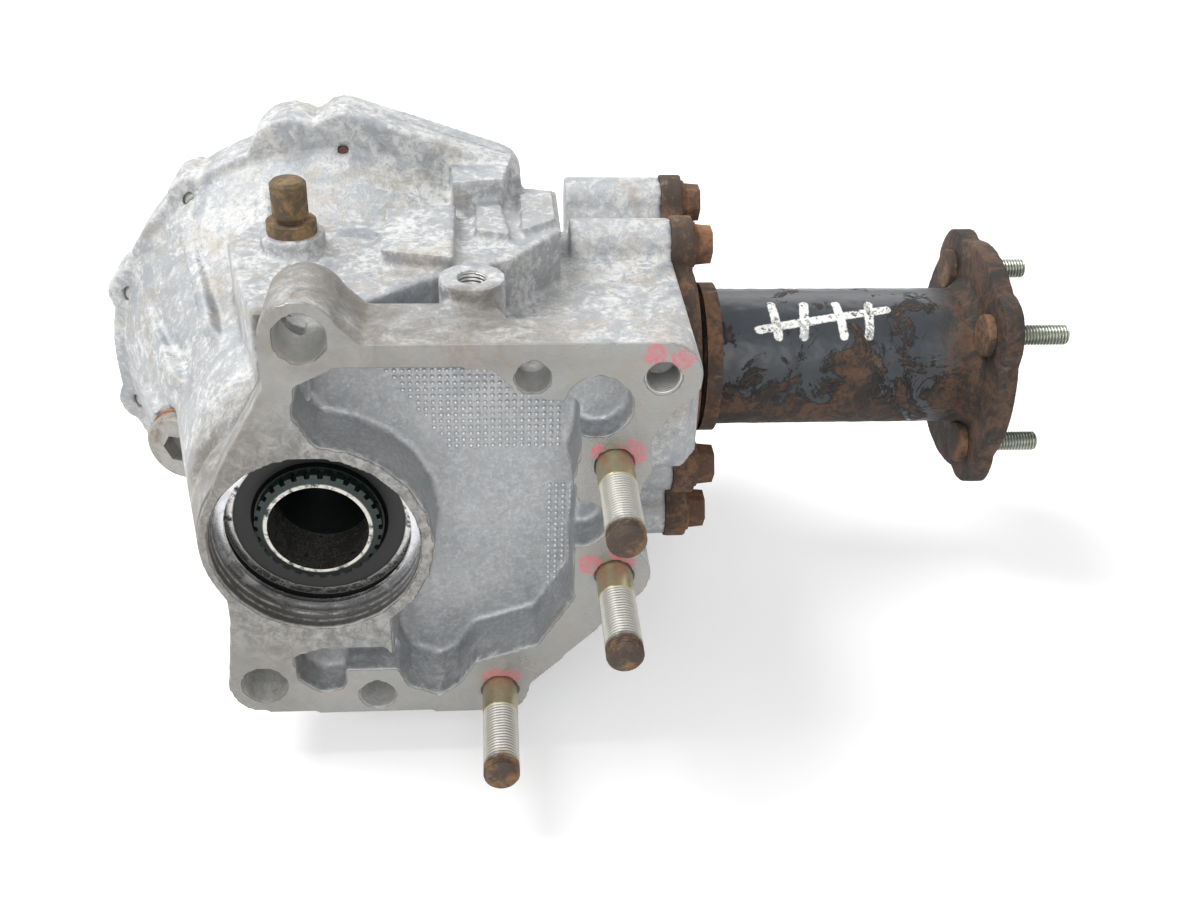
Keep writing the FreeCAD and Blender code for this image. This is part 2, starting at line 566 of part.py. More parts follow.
    # holes and studs' seats in the mating face
    depth = d.flange_depth + 8.0
    cut_pocket(body, "through_holes", "y", -END, depth,
               (d.upper_hole_x, d.upper_hole_z, d.upper_hole_dia / 2), (d.lower_hole_x, d.lower_hole_z, d.lower_hole_dia / 2))
    cut_pocket(body, "nut_room", "y", d.flange_depth, face_boss, (d.upper_hole_x, d.upper_hole_z, face_boss - 1.0))
    cut_pocket(body, "dowel_holes", "y", -END, d.dowel_depth + END,
               (d.upper_dowel_x, d.upper_dowel_z, d.upper_dowel_dia / 2),
               (d.lower_dowel_x, d.lower_dowel_z, d.lower_dowel_dia / 2))
    cut_pocket(body, "tapped_hole", "y", -END, d.tapped_depth + END,
               (d.tapped_x, d.tapped_z, d.mating_stud_dia / 2 - 0.6))
    cut_pocket(body, "stud_seats", "y", -END, d.mating_stud_buried + END,
               *[(x, z, d.mating_stud_dia / 2 + d.stud_hole_gap) for x, z in stud_places])
    # room for the gears and seats along the input axis
    shoulder = d.input_bearing_y - 2.0
    seat_end = d.input_bearing_y + d.input_bearing_width
    bore = d.input_bore_dia / 2
    seat = d.input_bearing_dia / 2
    snap_end = d.snap_ring_y + d.snap_ring_wide
    cut_turned(body, "input_seats", "input", [
        (-END, 0.0), (-END, bore), (d.snap_ring_y, bore), (d.snap_ring_y, bore + 1.0), (snap_end, bore + 1.0),
        (snap_end, bore), (shoulder, bore), (shoulder, bore - 3.0), (d.input_bearing_y, bore - 3.0),
        (d.input_bearing_y, seat), (seat_end, seat), (seat_end + 12.0, seat + 1.0),
        (d.filler_y + 2.0, seat + 2.0), (d.split_y - 25.0, d.gear_room_dia / 2),
        (d.split_y + END, d.gear_room_dia / 2), (d.split_y + END, 0.0)])
    # pinion line
    cut_pocket(body, "housing_seat", "x", edge, end - edge + END, (d.output_y, 0.0, d.housing_pilot_dia / 2 + d.pilot_gap))
    cut_pocket(body, "pinion_room", "x", 22.0, edge - 21.0, (d.output_y, 0.0, d.pinion_room_dia / 2))
    # threaded holes for bolts, plugs, breather and sensor
    start = d.split_y - d.split_flange_depth
    cut_pocket(body, "cover_threads", "y", start - END, d.split_flange_depth + 2 * END,
               *[(x, z, d.cover_bolt_dia / 2 + d.bolt_gap) for x, z in cover_bolt_places])
    cut_pocket(body, "cover_dowel_seats", "y", d.split_y - d.cover_dowel_length / 2, d.cover_dowel_length / 2 + END,
               *[(x, z, d.cover_dowel_dia / 2) for x, z in cover_dowel_places])
    cut_pocket(body, "housing_threads", "x", end - d.housing_bolt_reach - 1.0, d.housing_bolt_reach + 1.0 + END,
               *[(y, z, d.housing_bolt_dia / 2 + d.bolt_gap) for y, z in housing_bolt_places])
    cut_pocket(body, "sensor_side_hole", "y", d.sensor_y - d.sensor_boss_dia / 2 - 1.0, 6.0,
               (d.sensor_x, d.sensor_top - 14.0, 2.5))
    cut_pocket(body, "sensor_hole", "z", d.sensor_top - d.sensor_hole_depth, d.sensor_hole_depth + END,
               (d.sensor_x, d.sensor_y, d.sensor_hole_dia / 2))
    cut_pocket(body, "breather_hole", "z", d.breather_seat - 9.0, 9.0 + END, (d.breather_x, d.breather_y, 4.0))
    for name, turn, spot in (("filler", plug_turn, (d.filler_x, d.filler_y, d.filler_z)),
                             ("drain", TURNS["-z"], (0.0, d.drain_y, -d.drain_reach))):
        hole = body.newObject("PartDesign::SubtractiveCylinder", name + "_thread")
        bind(hole, "Radius", d.plug_thread_dia / 2 + d.bolt_gap)
        bind(hole, "Height", d.plug_reach + 8.0)
        place(hole, "Placement", *spot, turn.multiply(TURNS["-z"]))
        room = body.newObject("PartDesign::SubtractiveCylinder", name + "_spot_face")
        bind(room, "Radius", d.plug_spot_dia / 2)
        room.Height = 40.0
        place(room, "Placement", *spot, turn)
    return body


def side_cover():
    body = new_body("side_cover")
    wall = d.cover_wall
    room = d.gear_room_dia / 2
    boss = d.cover_boss_dia / 2
    add_split_flange(body, d.split_y, d.cover_flange_depth)
    add_turned(body, "dome", "input", [
        (d.split_y, 0.0), (d.split_y, room + wall + 3.0), (cover_back_y, room + wall + 3.0),
        (cover_dome_y - 4.0, room + wall), (cover_dome_y + wall, room - 4.0), (cover_dome_y + wall, boss + 4.0),
        (cover_dome_y + wall + 3.0, boss), (d.cover_boss_y, boss - 2.0), (d.cover_boss_y, 0.0)])
    rib = add_pad(body, "rib", "z", -2.5, 5.0, [
        (boss - 3.0, cover_back_y), (room + wall + 9.0, cover_back_y), (room - 4.0, cover_dome_y + wall + 3.0),
        (boss - 3.0, d.cover_boss_y - 6.0)])
    ribs = body.newObject("PartDesign::PolarPattern", "ribs")
    ribs.Originals = [rib]
    ribs.Axis = (next(part for part in body.Origin.OriginFeatures if part.Role == "Y_Axis"), [""])
    ribs.Angle = 360.0
    ribs.Occurrences = 9
    body.Tip = ribs
    clip_right(body, d.split_y - 1.0, d.cover_boss_y)
    rear_end = d.rear_bearing_y + d.rear_bearing_width
    seat = d.input_bearing_dia / 2
    cut_turned(body, "cover_room", "input", [
        (d.split_y - END, 0.0), (d.split_y - END, room), (cover_dome_y - 6.0, room), (cover_dome_y, room - 7.0),
        (cover_dome_y, boss), (d.rear_bearing_y, boss), (d.rear_bearing_y, seat), (rear_end, seat),
        (rear_end, d.cover_seal_dia / 2), (d.cover_boss_y + END, d.cover_seal_dia / 2), (d.cover_boss_y + END, 0.0)])
    cut_pocket(body, "pinion_notch", "x", 30.0, d.cover_edge_x, (d.output_y, 0.0, d.pinion_room_dia / 2))
    cut_pocket(body, "bolt_holes", "y", d.split_y - END, d.cover_flange_depth + 2 * END,
               *[(x, z, d.cover_bolt_dia / 2 + 0.4) for x, z in cover_bolt_places])
    cut_pocket(body, "head_seats", "y", cover_back_y, 40.0,
               *[(x, z, d.cover_bolt_hex * 0.62) for x, z in cover_bolt_places])
    cut_pocket(body, "dowel_seats", "y", d.split_y - END, d.cover_dowel_length / 2 + END,
               *[(x, z, d.cover_dowel_dia / 2) for x, z in cover_dowel_places])
    return body


# ---------------------------------------------------------------------------------------------
# Extension housing, with both pinion bearings
# ---------------------------------------------------------------------------------------------
def extension_housing():
    body = new_body("extension_housing")
    pilot = d.housing_pilot_dia / 2
    add_turned(body, "cartridge", "output", [
        (d.cover_edge_x + 1.0, 0.0), (d.cover_edge_x + 1.0, pilot), (d.case_end_x, pilot),
        (d.case_end_x, pilot + 6.0), (housing_face_x, pilot + 6.0), (housing_face_x, d.housing_nose_dia / 2 + 2.0),
        (d.housing_nose_x, d.housing_nose_dia / 2), (d.housing_nose_x, 0.0)])
    add_pad(body, "ears", "x", d.case_end_x, d.housing_flange_depth,
            *[(y, z, d.housing_ear_dia / 2 - 1.0) for y, z in housing_bolt_places])
    add_bolt_webs(body, d.case_end_x, d.housing_flange_depth, d.housing_ear_dia / 2 - 2.0)
    head_end = d.head_bearing_x + d.head_bearing_width
    cut_turned(body, "bearing_seats", "output", [
        (d.cover_edge_x, 0.0), (d.cover_edge_x, d.head_bearing_dia / 2), (head_end, d.head_bearing_dia / 2),
        (head_end, d.tail_bearing_dia / 2 - 4.0), (d.tail_bearing_x, d.tail_bearing_dia / 2 - 4.0),
        (d.tail_bearing_x, d.tail_bearing_dia / 2), (d.housing_nose_x + END, d.tail_bearing_dia / 2),
        (d.housing_nose_x + END, 0.0)])
    groove = d.housing_pilot_dia / 2
    cut_turned(body, "ring_groove", "output", [
        (d.case_end_x - 10.0, groove - 2.2), (d.case_end_x - 7.0, groove - 2.2),
        (d.case_end_x - 7.0, groove + END), (d.case_end_x - 10.0, groove + END)])
    cut_pocket(body, "bolt_holes", "x", d.case_end_x - END, d.housing_flange_depth + 2 * END,
               *[(y, z, d.housing_bolt_dia / 2 + 0.5) for y, z in housing_bolt_places])
    return body


# ---------------------------------------------------------------------------------------------
# Tapered roller bearings: inner race, outer race and the set of rollers with its cage
# ---------------------------------------------------------------------------------------------
def taper_bearing(label, axis, start, width, bore, outer, sense, count):
    """The small end lies at start for sense +1, and at start + width for sense -1."""
    small = start if sense > 0 else start + width
    space = (outer - bore) / 2
    middle = (outer + bore) / 4
    roller = space * 0.215
    half = width * 0.5
    slope, taper, gap = 0.23, 0.021, d.roller_gap

    def at(t):
        return small + t * sense

    def way(t, side):
        """Radius of a race under (-1) or over (+1) the rollers, with their running gap."""
        axis_t = (t + (roller - half * taper) * side * slope) / (1.0 - side * slope * taper)
        return middle + (axis_t - half) * slope + (roller + (axis_t - half) * taper + gap) * side

    def inner(t):
        return way(t, -1.0)

    def outer_way(t):
        return way(t, 1.0)

    first, last = width * 0.17, width * 0.80
    turned(label + "_inner_race", axis, [
        (at(width * 0.0), bore / 2), (at(width), bore / 2), (at(width), inner(width) + 2.2),
        (at(last + 0.8), inner(last) + 2.2), (at(last + 0.8), inner(last + 0.8)),
        (at(first - 0.5), inner(first - 0.5)), (at(first - 0.5), inner(first) + 0.9),
        (at(width * 0.0), inner(first) + 0.9)])
    turned(label + "_outer_race", axis, [
        (at(width * 0.0), outer_way(width * 0.0)), (at(width * 0.85), outer_way(width * 0.85)),
        (at(width * 0.85), outer / 2), (at(width * 0.0), outer / 2)])
    facing, place_at = ("y", d.output_y) if axis == "output" else ("x", 0.0)

    def roller_shape(name, grow, ends, kind):
        """A roller's half section and the line that it turns about."""
        body = bodies[kind]
        sketch = new_sketch(body, name + "_sketch", facing, place_at)
        low, high = first + 0.3 - ends, last - 0.3 + ends
        axis_low = (at(low), middle + (low - half) * slope)
        axis_high = (at(high), middle + (high - half) * slope)
        rise_low = roller + (low - half) * taper + grow
        rise_high = roller + (high - half) * taper + grow
        draw_polygon(sketch, [
            axis_low, axis_high, (axis_high[0] - slope * rise_high * sense, axis_high[1] + rise_high),
            (axis_low[0] - slope * rise_low * sense, axis_low[1] + rise_low)])
        feature = body.newObject("PartDesign::Revolution" if kind == "solid" else "PartDesign::Groove", name)
        feature.Profile = sketch
        feature.ReferenceAxis = (sketch, ["Edge1"])
        feature.Angle = 360.0
        pattern = body.newObject("PartDesign::PolarPattern", name + "_round")
        pattern.Originals = [feature]
        pattern.Axis = (sketch, ["H_Axis"])
        pattern.Angle = 360.0
        pattern.Occurrences = count
        body.Tip = pattern

    bodies = {"solid": new_body(label + "_roller_set"), "cut": new_body(label + "_cage")}
    sheet_half = 0.6

    def cage(t):
        return middle + roller * 0.25 + (t - half) * slope

    front, back = first - 1.5, last + 1.5
    add_turned(bodies["cut"], label + "_cage_sheet", axis, [
        (at(front), cage(front) - sheet_half), (at(back), cage(back) - sheet_half),
        (at(back), cage(back) + sheet_half), (at(front), cage(front) + sheet_half)])
    roller_shape(label + "_roller", 0.0, 0.0, "solid")
    roller_shape(label + "_window", 0.1, 0.15, "cut")
    return group(label + "_rollers", list(bodies.values()))


# ---------------------------------------------------------------------------------------------
# Spiral bevel gears
# ---------------------------------------------------------------------------------------------
def involute(angle):
    return math.tan(angle) - angle


def gap_section(teeth, other_teeth, distance, cone_angle):
    """The space between two teeth, as flat points at one cone distance, before it is turned.

    The flanks are involutes of the gear rolled out on its back cone; the gap is centred on the
    direction +radius. Each point is (along the axis, radial, sideways)."""
    outer_distance = float(d.gear_module) * math.hypot(teeth, other_teeth) / 2
    module = float(d.gear_module) * distance / outer_distance
    pressure = math.radians(float(d.pressure_angle))
    rolled = distance * math.tan(cone_angle)
    base = rolled * math.cos(pressure)
    tooth_half = (math.pi * module / 4 - float(d.backlash) / 2) / rolled
    pitch_half = math.pi * math.cos(cone_angle) / teeth

    def half_gap(radius):
        meet = math.acos(min(1.0, base / radius))
        thickness = tooth_half + involute(pressure) - involute(meet)
        return (pitch_half - thickness) / math.cos(cone_angle)

    root = rolled - 1.2 * module
    levels = [max(root, base * 1.0005), rolled, rolled + module, rolled + 1.7 * module]
    outline = [(root, half_gap(levels[0]) * 0.8)] + [(r, half_gap(r)) for r in levels if r > root + 0.05]
    side = [(r, angle) for r, angle in outline]
    both = side + [(r, -angle) for r, angle in reversed(side)]
    points = []
    for radius, angle in both:
        pitch_radius = distance * math.sin(cone_angle)
        rise = radius - rolled
        across = pitch_radius + rise * math.cos(cone_angle)
        along = distance * math.cos(cone_angle) - rise * math.sin(cone_angle)
        points.append((along, across, across * math.sin(angle)))
    return points


def gear_cutters(teeth, other_teeth, spin_sense, phase, spiral_ratio):
    """All the tooth spaces of one gear about +Z, with the apex at the origin."""
    cone_angle = math.atan2(teeth, other_teeth)
    outer_distance = float(d.gear_module) * math.hypot(teeth, other_teeth) / 2
    face = float(d.gear_face)
    lengths = [outer_distance - face - 3.0, outer_distance - face * 0.5, outer_distance + 3.0]
    middle = outer_distance - face / 2
    spiral = math.tan(math.radians(float(d.spiral_angle)))
    cutter_sections = []
    for distance in lengths:
        turn = spin_sense * spiral * math.log(distance / middle) * spiral_ratio
        turned_points = []
        for along, across, sideways in gap_section(teeth, other_teeth, distance, cone_angle):
            x = across * math.cos(turn) - sideways * math.sin(turn)
            y = across * math.sin(turn) + sideways * math.cos(turn)
            turned_points.append(FreeCAD.Vector(x, y, along))
        cutter_sections.append(Part.makePolygon(turned_points + turned_points[:1]))
    cutter = Part.makeLoft(cutter_sections, True, True)
    cutters = []
    for number in range(int(teeth)):
        copy = cutter.copy()
        copy.rotate(FreeCAD.Vector(), FreeCAD.Vector(0, 0, 1), (number + phase) * 360.0 / teeth)
        cutters.append(copy)
    return cutters


def blank_point(teeth, other_teeth, distance, rise):
    """A point (along, radius) at a cone distance, raised square to the pitch cone."""
    cone_angle = math.atan2(teeth, other_teeth)
    along = distance * math.cos(cone_angle) - rise * math.sin(cone_angle)
    return along, distance * math.sin(cone_angle) + rise * math.cos(cone_angle)


def lathe(profile):
    """A turned solid about +Z from (along, radius) points."""
    points = [FreeCAD.Vector(radius, 0, along) for along, radius in profile]
    face = Part.Face(Part.makePolygon(points + points[:1]))
    return face.revolve(FreeCAD.Vector(), FreeCAD.Vector(0, 0, 1), 360)


def tooth_blank(teeth, other_teeth):
    outer_distance = float(d.gear_module) * math.hypot(teeth, other_teeth) / 2
    module = float(d.gear_module)
    inner_distance = outer_distance - float(d.gear_face)
    inner_module = module * inner_distance / outer_distance
    outer_tip = blank_point(teeth, other_teeth, outer_distance, 0.92 * module)
    inner_tip = blank_point(teeth, other_teeth, inner_distance, 0.92 * inner_module)
    outer_foot = blank_point(teeth, other_teeth, outer_distance, -1.7 * module)
    inner_foot = blank_point(teeth, other_teeth, inner_distance, -1.7 * inner_module)
    return inner_tip, outer_tip, outer_foot, inner_foot


def gear_feature(label, shape, centre, turn):
    """Hand a made shape to the document, turned on its axis at its place."""
    feature = document.addObject("Part::Feature", label)
    feature.Label = label
    shape = shape.removeSplitter()
    feature.Shape = shape
    feature.Placement = FreeCAD.Placement(centre, turn)
    return feature


apex = FreeCAD.Vector(0, float(d.output_y), 0)
ring_count, pinion_count = float(d.ring_teeth), float(d.pinion_teeth)


def ring_gear():
    inner_tip, outer_tip, outer_foot, inner_foot = tooth_blank(ring_count, pinion_count)
    back = float(d.shaft_flange_y) - float(d.output_y)
    bore = float(d.shaft_pilot_dia) / 2
    rim = float(d.shaft_flange_dia) / 2
    blank = lathe([inner_tip, outer_tip, outer_foot, (outer_foot[0] + 1.0, rim), (back, rim), (back, bore),
                   (inner_foot[0], bore), inner_foot])
    cutters = gear_cutters(ring_count, pinion_count, 1.0, 0.0, 1.0)
    shape = blank.cut(cutters)
    circle, radius = float(d.ring_bolt_circle) / 2, float(d.ring_bolt_dia) / 2
    reach = float(d.ring_bolt_reach) + 0.5
    for number in range(int(float(d.ring_bolt_count))):
        angle = math.radians(number * 360.0 / float(d.ring_bolt_count))
        foot = FreeCAD.Vector(circle * math.cos(angle), circle * math.sin(angle), back - reach)
        shape = shape.cut(Part.makeCylinder(radius, reach + 1.0, foot))
    return gear_feature("ring_gear", shape, apex, TURNS["+y"])


def pinion_shaft():
    inner_tip, outer_tip, outer_foot, inner_foot = tooth_blank(pinion_count, ring_count)
    head = float(d.head_seat_dia) / 2
    tail = float(d.tail_seat_dia) / 2
    spline = float(d.pinion_spline_dia) / 2
    thread = float(d.nut_thread_dia) / 2
    shoulder = float(d.head_bearing_x) - float(d.pinion_shim_depth)
    head_end = float(d.head_bearing_x) + float(d.head_bearing_width)
    tail_end = float(d.tail_bearing_x) + float(d.tail_bearing_width)
    nut_start = float(nut_x)
    blank = lathe([(inner_foot[0], 0.0), inner_foot, inner_tip, outer_tip, outer_foot,
                   (shoulder, outer_foot[1]), (shoulder, head), (head_end, head), (head_end, head - 1.0),
                   (float(d.tail_bearing_x), head - 1.0), (float(d.tail_bearing_x), tail),
                   (tail_end, tail), (tail_end, spline), (nut_start - 2.0, spline),
                   (nut_start - 2.0, thread), (nut_start + float(d.nut_length) + 4.0, thread),
                   (nut_start + float(d.nut_length) + 5.5, thread - 1.5),
                   (nut_start + float(d.nut_length) + 5.5, 0.0)])
    cutters = gear_cutters(pinion_count, ring_count, -1.0, 0.5, ring_count / pinion_count)
    turn = FreeCAD.Rotation(FreeCAD.Vector(1, 1, 1), 120)
    return gear_feature("pinion_shaft", blank.cut(cutters), apex, turn)


nut_x = d.housing_nose_x + 2.0 + d.washer_depth


# ---------------------------------------------------------------------------------------------
# Input shaft
# ---------------------------------------------------------------------------------------------
def input_shaft():
    body = new_body("input_shaft")
    seat = d.input_seat_dia / 2
    hollow = d.input_hollow_dia / 2
    journal = d.seal_journal_dia / 2
    front_end = d.input_bearing_y + d.input_bearing_width
    flange_back = d.shaft_flange_y + d.shaft_flange_depth
    pilot = d.shaft_pilot_dia / 2
    flange = d.shaft_flange_dia / 2
    rear_end = d.rear_bearing_y + d.rear_bearing_width
    add_turned(body, "shaft", "input", [
        (d.hub_front_y, hollow + 1.0), (d.hub_front_y + 1.0, d.spline_dia / 2), (d.input_seal_y, d.spline_dia / 2),
        (d.input_seal_y, journal), (d.input_bearing_y, journal), (d.input_bearing_y, seat), (front_end, seat),
        (front_end, seat + 3.0), (front_end + 6.0, seat + 3.0), (front_end + 8.0, seat), (d.shaft_flange_y - 22.0, seat),
        (d.shaft_flange_y - 5.0, pilot), (d.shaft_flange_y, pilot), (d.shaft_flange_y, flange),
        (flange_back, flange), (flange_back, seat + 3.0), (d.rear_bearing_y, seat + 3.0), (d.rear_bearing_y, seat),
        (rear_end, seat), (rear_end, journal), (d.cover_boss_y + 2.0, journal), (d.cover_boss_y + 2.0, hollow),
        (d.hub_front_y, hollow)])
    space = cut_pocket(body, "spline_space", "y", d.hub_front_y - END, d.input_seal_y - d.hub_front_y + END,
                       [(d.spline_dia / 2 - 1.2, -0.8), (d.spline_dia / 2 + 1.5, -1.3), (d.spline_dia / 2 + 1.5, 1.3),
                        (d.spline_dia / 2 - 1.2, 0.8)])
    pattern_round(body, space, "spline", (body.getObject("spline_space_sketch"), ["N_Axis"]), d.spline_teeth)
    hole = cut_pocket(body, "bolt_hole", "y", d.shaft_flange_y - END, d.shaft_flange_depth + 2 * END,
                      (d.ring_bolt_circle / 2, 0.0, d.ring_bolt_dia / 2))
    pattern_round(body, hole, "bolt_holes", (body.getObject("bolt_hole_sketch"), ["N_Axis"]), d.ring_bolt_count)
    return body


# ---------------------------------------------------------------------------------------------
# Companion flange: long tube and lobed flange in one piece
# ---------------------------------------------------------------------------------------------
def flange_stud_centre(number):
    """Centre of one flange stud, as y and z."""
    angle = d.flange_turn + number * 360.0 / d.flange_stud_count
    circle = d.flange_bolt_circle / 2
    return d.output_y + circle * cosine(angle), circle * sine(angle)


def companion_flange():
    body = new_body("companion_flange")
    start = d.tail_bearing_x + d.tail_bearing_width
    nose = d.nose_dia / 2
    tube = d.tube_dia / 2
    hollow = d.tube_hollow_dia / 2
    spline = d.pinion_spline_dia / 2
    nose_end = d.housing_nose_x + 0.5
    seat_end = nut_x - d.washer_depth
    end = d.flange_face_x + d.flange_thick
    add_turned(body, "tube", "output", [
        (start, spline), (start, nose), (nose_end, nose), (nose_end + 2.0, tube), (d.flange_face_x - 4.0, tube),
        (d.flange_face_x, tube + 4.0), (d.flange_face_x, d.flange_disc_dia / 2), (end, d.flange_disc_dia / 2),
        (end, hollow + 4.0), (end - 3.0, hollow), (seat_end, hollow), (seat_end, spline)])
    lobe = add_pad(body, "lobe", "x", d.flange_face_x, d.flange_thick,
                   (*flange_stud_centre(0), d.flange_lobe_dia / 2))
    pattern_round(body, lobe, "lobes", (body.getObject("tube_sketch"), ["H_Axis"]), d.flange_stud_count)
    hole = cut_pocket(body, "stud_hole", "x", d.flange_face_x - END, d.flange_thick + 2 * END,
                      (*flange_stud_centre(0), d.flange_stud_dia / 2 + d.stud_press))
    pattern_round(body, hole, "stud_holes", (body.getObject("tube_sketch"), ["H_Axis"]), d.flange_stud_count)
    spot = cut_pocket(body, "stud_head_room", "x", d.flange_face_x - 6.0, 6.0,
                      (*flange_stud_centre(0), d.flange_stud_head_dia / 2 + 0.4))
    pattern_round(body, spot, "stud_head_rooms", (body.getObject("tube_sketch"), ["H_Axis"]), d.flange_stud_count)
    return body


# ---------------------------------------------------------------------------------------------
# Studs, plugs and small pieces
# ---------------------------------------------------------------------------------------------
def mating_stud_piece(label):
    """A stud along +Z: threaded foot below z = 0, an undercut at the face, then the proud shank."""
    body = new_body(label)
    r, tip, neck = d.mating_stud_dia / 2, d.mating_stud_dia * 0.1, d.mating_stud_dia / 2 - 0.8
    add_turned(body, label + "_turned", "upright", [
        (-d.mating_stud_buried + 1.0, 0.0), (-d.mating_stud_buried + 1.0, r - tip), (-d.mating_stud_buried + 1.0 + tip, r),
        (-d.stud_neck, r), (-d.stud_neck, neck), (0.4, neck), (0.4, r), (d.mating_stud_proud - tip, r),
        (d.mating_stud_proud, r - tip), (d.mating_stud_proud, 0.0)])
    return body


def flange_stud_piece(label):
    """A pressed stud along +Z: round head below z = 0, serrated collar in the flange, then the thread."""
    body = new_body(label)
    r, tip = d.flange_stud_dia / 2, d.flange_stud_dia * 0.1
    head, top = d.flange_stud_head_dia / 2, d.flange_thick + d.flange_stud_proud
    collar = r + d.stud_press
    add_turned(body, label + "_turned", "upright", [
        (-d.flange_stud_head, 0.0), (-d.flange_stud_head, head - 0.6), (0.6 - d.flange_stud_head, head), (0.0, head),
        (0.0, collar), (d.flange_thick - 0.5, collar), (d.flange_thick - 0.5, r - 0.6), (d.flange_thick + 0.5, r - 0.6),
        (d.flange_thick + 0.5, r), (top - tip, r), (top, r - tip), (top, 0.0)])
    return body


def plug_piece(label, x, y, z, turn):
    body = new_body(label)
    r, thread, head = d.plug_head_dia / 2, d.plug_thread_dia / 2, d.plug_head
    base = d.plug_gasket
    add_turned(body, label + "_turned", "upright", [
        (-d.plug_reach, 0.0), (-d.plug_reach, thread - 1.0), (-d.plug_reach + 1.0, thread), (base, thread),
        (base, r), (base + head - 1.0, r), (base + head, r - 1.0), (base + head, 0.0)])
    cut_pocket(body, label + "_socket", "z", base + head - 6.0, 6.0 + END, hexagon(d.plug_hex))
    place(body, "Placement", x, y, z, turn)
    return body


def plug_washer(label, x, y, z, turn):
    body = new_body(label)
    add_turned(body, label + "_turned", "upright", [
        (0.0, d.plug_thread_dia / 2 + 0.1), (d.plug_gasket, d.plug_thread_dia / 2 + 0.1),
        (d.plug_gasket, d.plug_head_dia / 2 + 0.8), (0.0, d.plug_head_dia / 2 + 0.8)])
    place(body, "Placement", x, y, z, turn)
    return body


def breather():
    body = new_body("breather")
    cap, base = d.breather_cap_dia / 2, d.breather_base_dia / 2
    add_turned(body, "breather_turned", "upright", [
        (-8.0, 0.0), (-8.0, 3.9), (0.0, 3.9), (0.0, base), (d.breather_base, base), (d.breather_base, cap - 1.5),
        (d.breather_base + 2.0, cap - 1.5), (d.breather_base + 2.0, cap),
        (d.breather_base + d.breather_cap - 1.0, cap), (d.breather_base + d.breather_cap, cap - 1.0),
        (d.breather_base + d.breather_cap, 0.0)])
    place(body, "Placement", d.breather_x, d.breather_y, d.breather_seat, TURNS["+z"])
    return body


def lip_seal(label, axis, start, width, shaft_dia, bore_dia):
    """A rubber lip seal: a pressed case in the bore and a lip that runs on the shaft."""
    r_in, r_out = shaft_dia / 2 + d.seal_gap, bore_dia / 2
    middle = (r_in + r_out) / 2
    return turned(label, axis, [
        (start, middle), (start, r_out), (start + width, r_out), (start + width, r_in + 1.5),
        (start + width * 0.6, r_in), (start + width * 0.3, r_in), (start + width * 0.1, r_in + 1.2)])


nodes = [
    main_case(),
    side_cover(),
    extension_housing(),
    input_shaft(),
    companion_flange(),
    ring_gear(),
    pinion_shaft(),
]
cover_bolt = hex_bolt("cover_bolt", d.cover_bolt_dia, cover_bolt_reach, d.cover_bolt_hex, d.cover_bolt_head)
nodes.append(copies("cover_bolts", cover_bolt, [(x, cover_back_y, z) for x, z in cover_bolt_places], TURNS["+y"]))
cover_dowel = new_body("cover_dowel")
half_dowel = d.cover_dowel_length / 2
add_turned(cover_dowel, "dowel_turned", "upright", [
    (-half_dowel, 0.0), (-half_dowel, d.cover_dowel_dia / 2), (half_dowel, d.cover_dowel_dia / 2), (half_dowel, 0.0)])
nodes.append(copies("cover_dowels", cover_dowel, [(x, d.split_y, z) for x, z in cover_dowel_places], TURNS["+y"]))
housing_bolt = hex_bolt("extension_bolt", d.housing_bolt_dia, d.housing_bolt_reach + d.housing_flange_depth,
                        d.housing_bolt_hex, d.housing_bolt_head)
nodes.append(copies("extension_bolts", housing_bolt,
                    [(housing_face_x, y, z) for y, z in housing_bolt_places], TURNS["+x"]))
ring_bolt = hex_bolt("ring_bolt", d.ring_bolt_dia, d.shaft_flange_depth + d.ring_bolt_reach, d.cover_bolt_hex,
                     d.cover_bolt_head)
ring_bolt_angles = [360.0 / float(d.ring_bolt_count) * n for n in range(int(float(d.ring_bolt_count)))]
nodes.append(copies("ring_gear_bolts", ring_bolt, [
    (d.ring_bolt_circle / 2 * cosine(a), d.shaft_flange_y + d.shaft_flange_depth, d.ring_bolt_circle / 2 * sine(a))
    for a in ring_bolt_angles], TURNS["+y"]))
mating_stud = mating_stud_piece("mating_stud")
nodes.append(copies("mating_studs", mating_stud, [(x, 0.0, z) for x, z in stud_places], TURNS["-y"]))
flange_stud = flange_stud_piece("flange_stud")
nodes.append(copies("flange_studs", flange_stud, [
    (d.flange_face_x, *flange_stud_centre(n)) for n in range(int(float(d.flange_stud_count)))], TURNS["+x"]))
filler_spot = (d.filler_x, d.filler_y, d.filler_z)
drain_spot = (0.0, d.drain_y, -d.drain_reach)
for name, spot, turn in (("filler", filler_spot, plug_turn), ("drain", drain_spot, TURNS["-z"])):
    nodes.append(plug_piece(name + "_plug", *spot, turn))
    nodes.append(plug_washer(name + "_gasket", *spot, turn))
nodes.append(breather())
nodes.append(lip_seal("input_oil_seal", "input", d.input_seal_y, d.input_seal_width, d.seal_journal_dia, d.input_bore_dia))
nodes.append(lip_seal("cover_oil_seal", "input", d.cover_boss_y - d.input_seal_width, d.input_seal_width,
                      d.seal_journal_dia, d.cover_seal_dia))
nodes.append(lip_seal("extension_oil_seal", "output", d.housing_seal_x, d.housing_seal_width, d.nose_dia, d.tail_bearing_dia))
nodes.append(ring("input_snap_ring", "input", d.snap_ring_y, d.snap_ring_wide, d.input_bore_dia - 6.6, d.input_bore_dia + 1.6))
nodes.append(ring("pinion_shim", "output", d.head_bearing_x - d.pinion_shim_depth, d.pinion_shim_depth,
                  d.head_seat_dia + 0.1, d.head_seat_dia + 8.0))
head_end = d.head_bearing_x + d.head_bearing_width
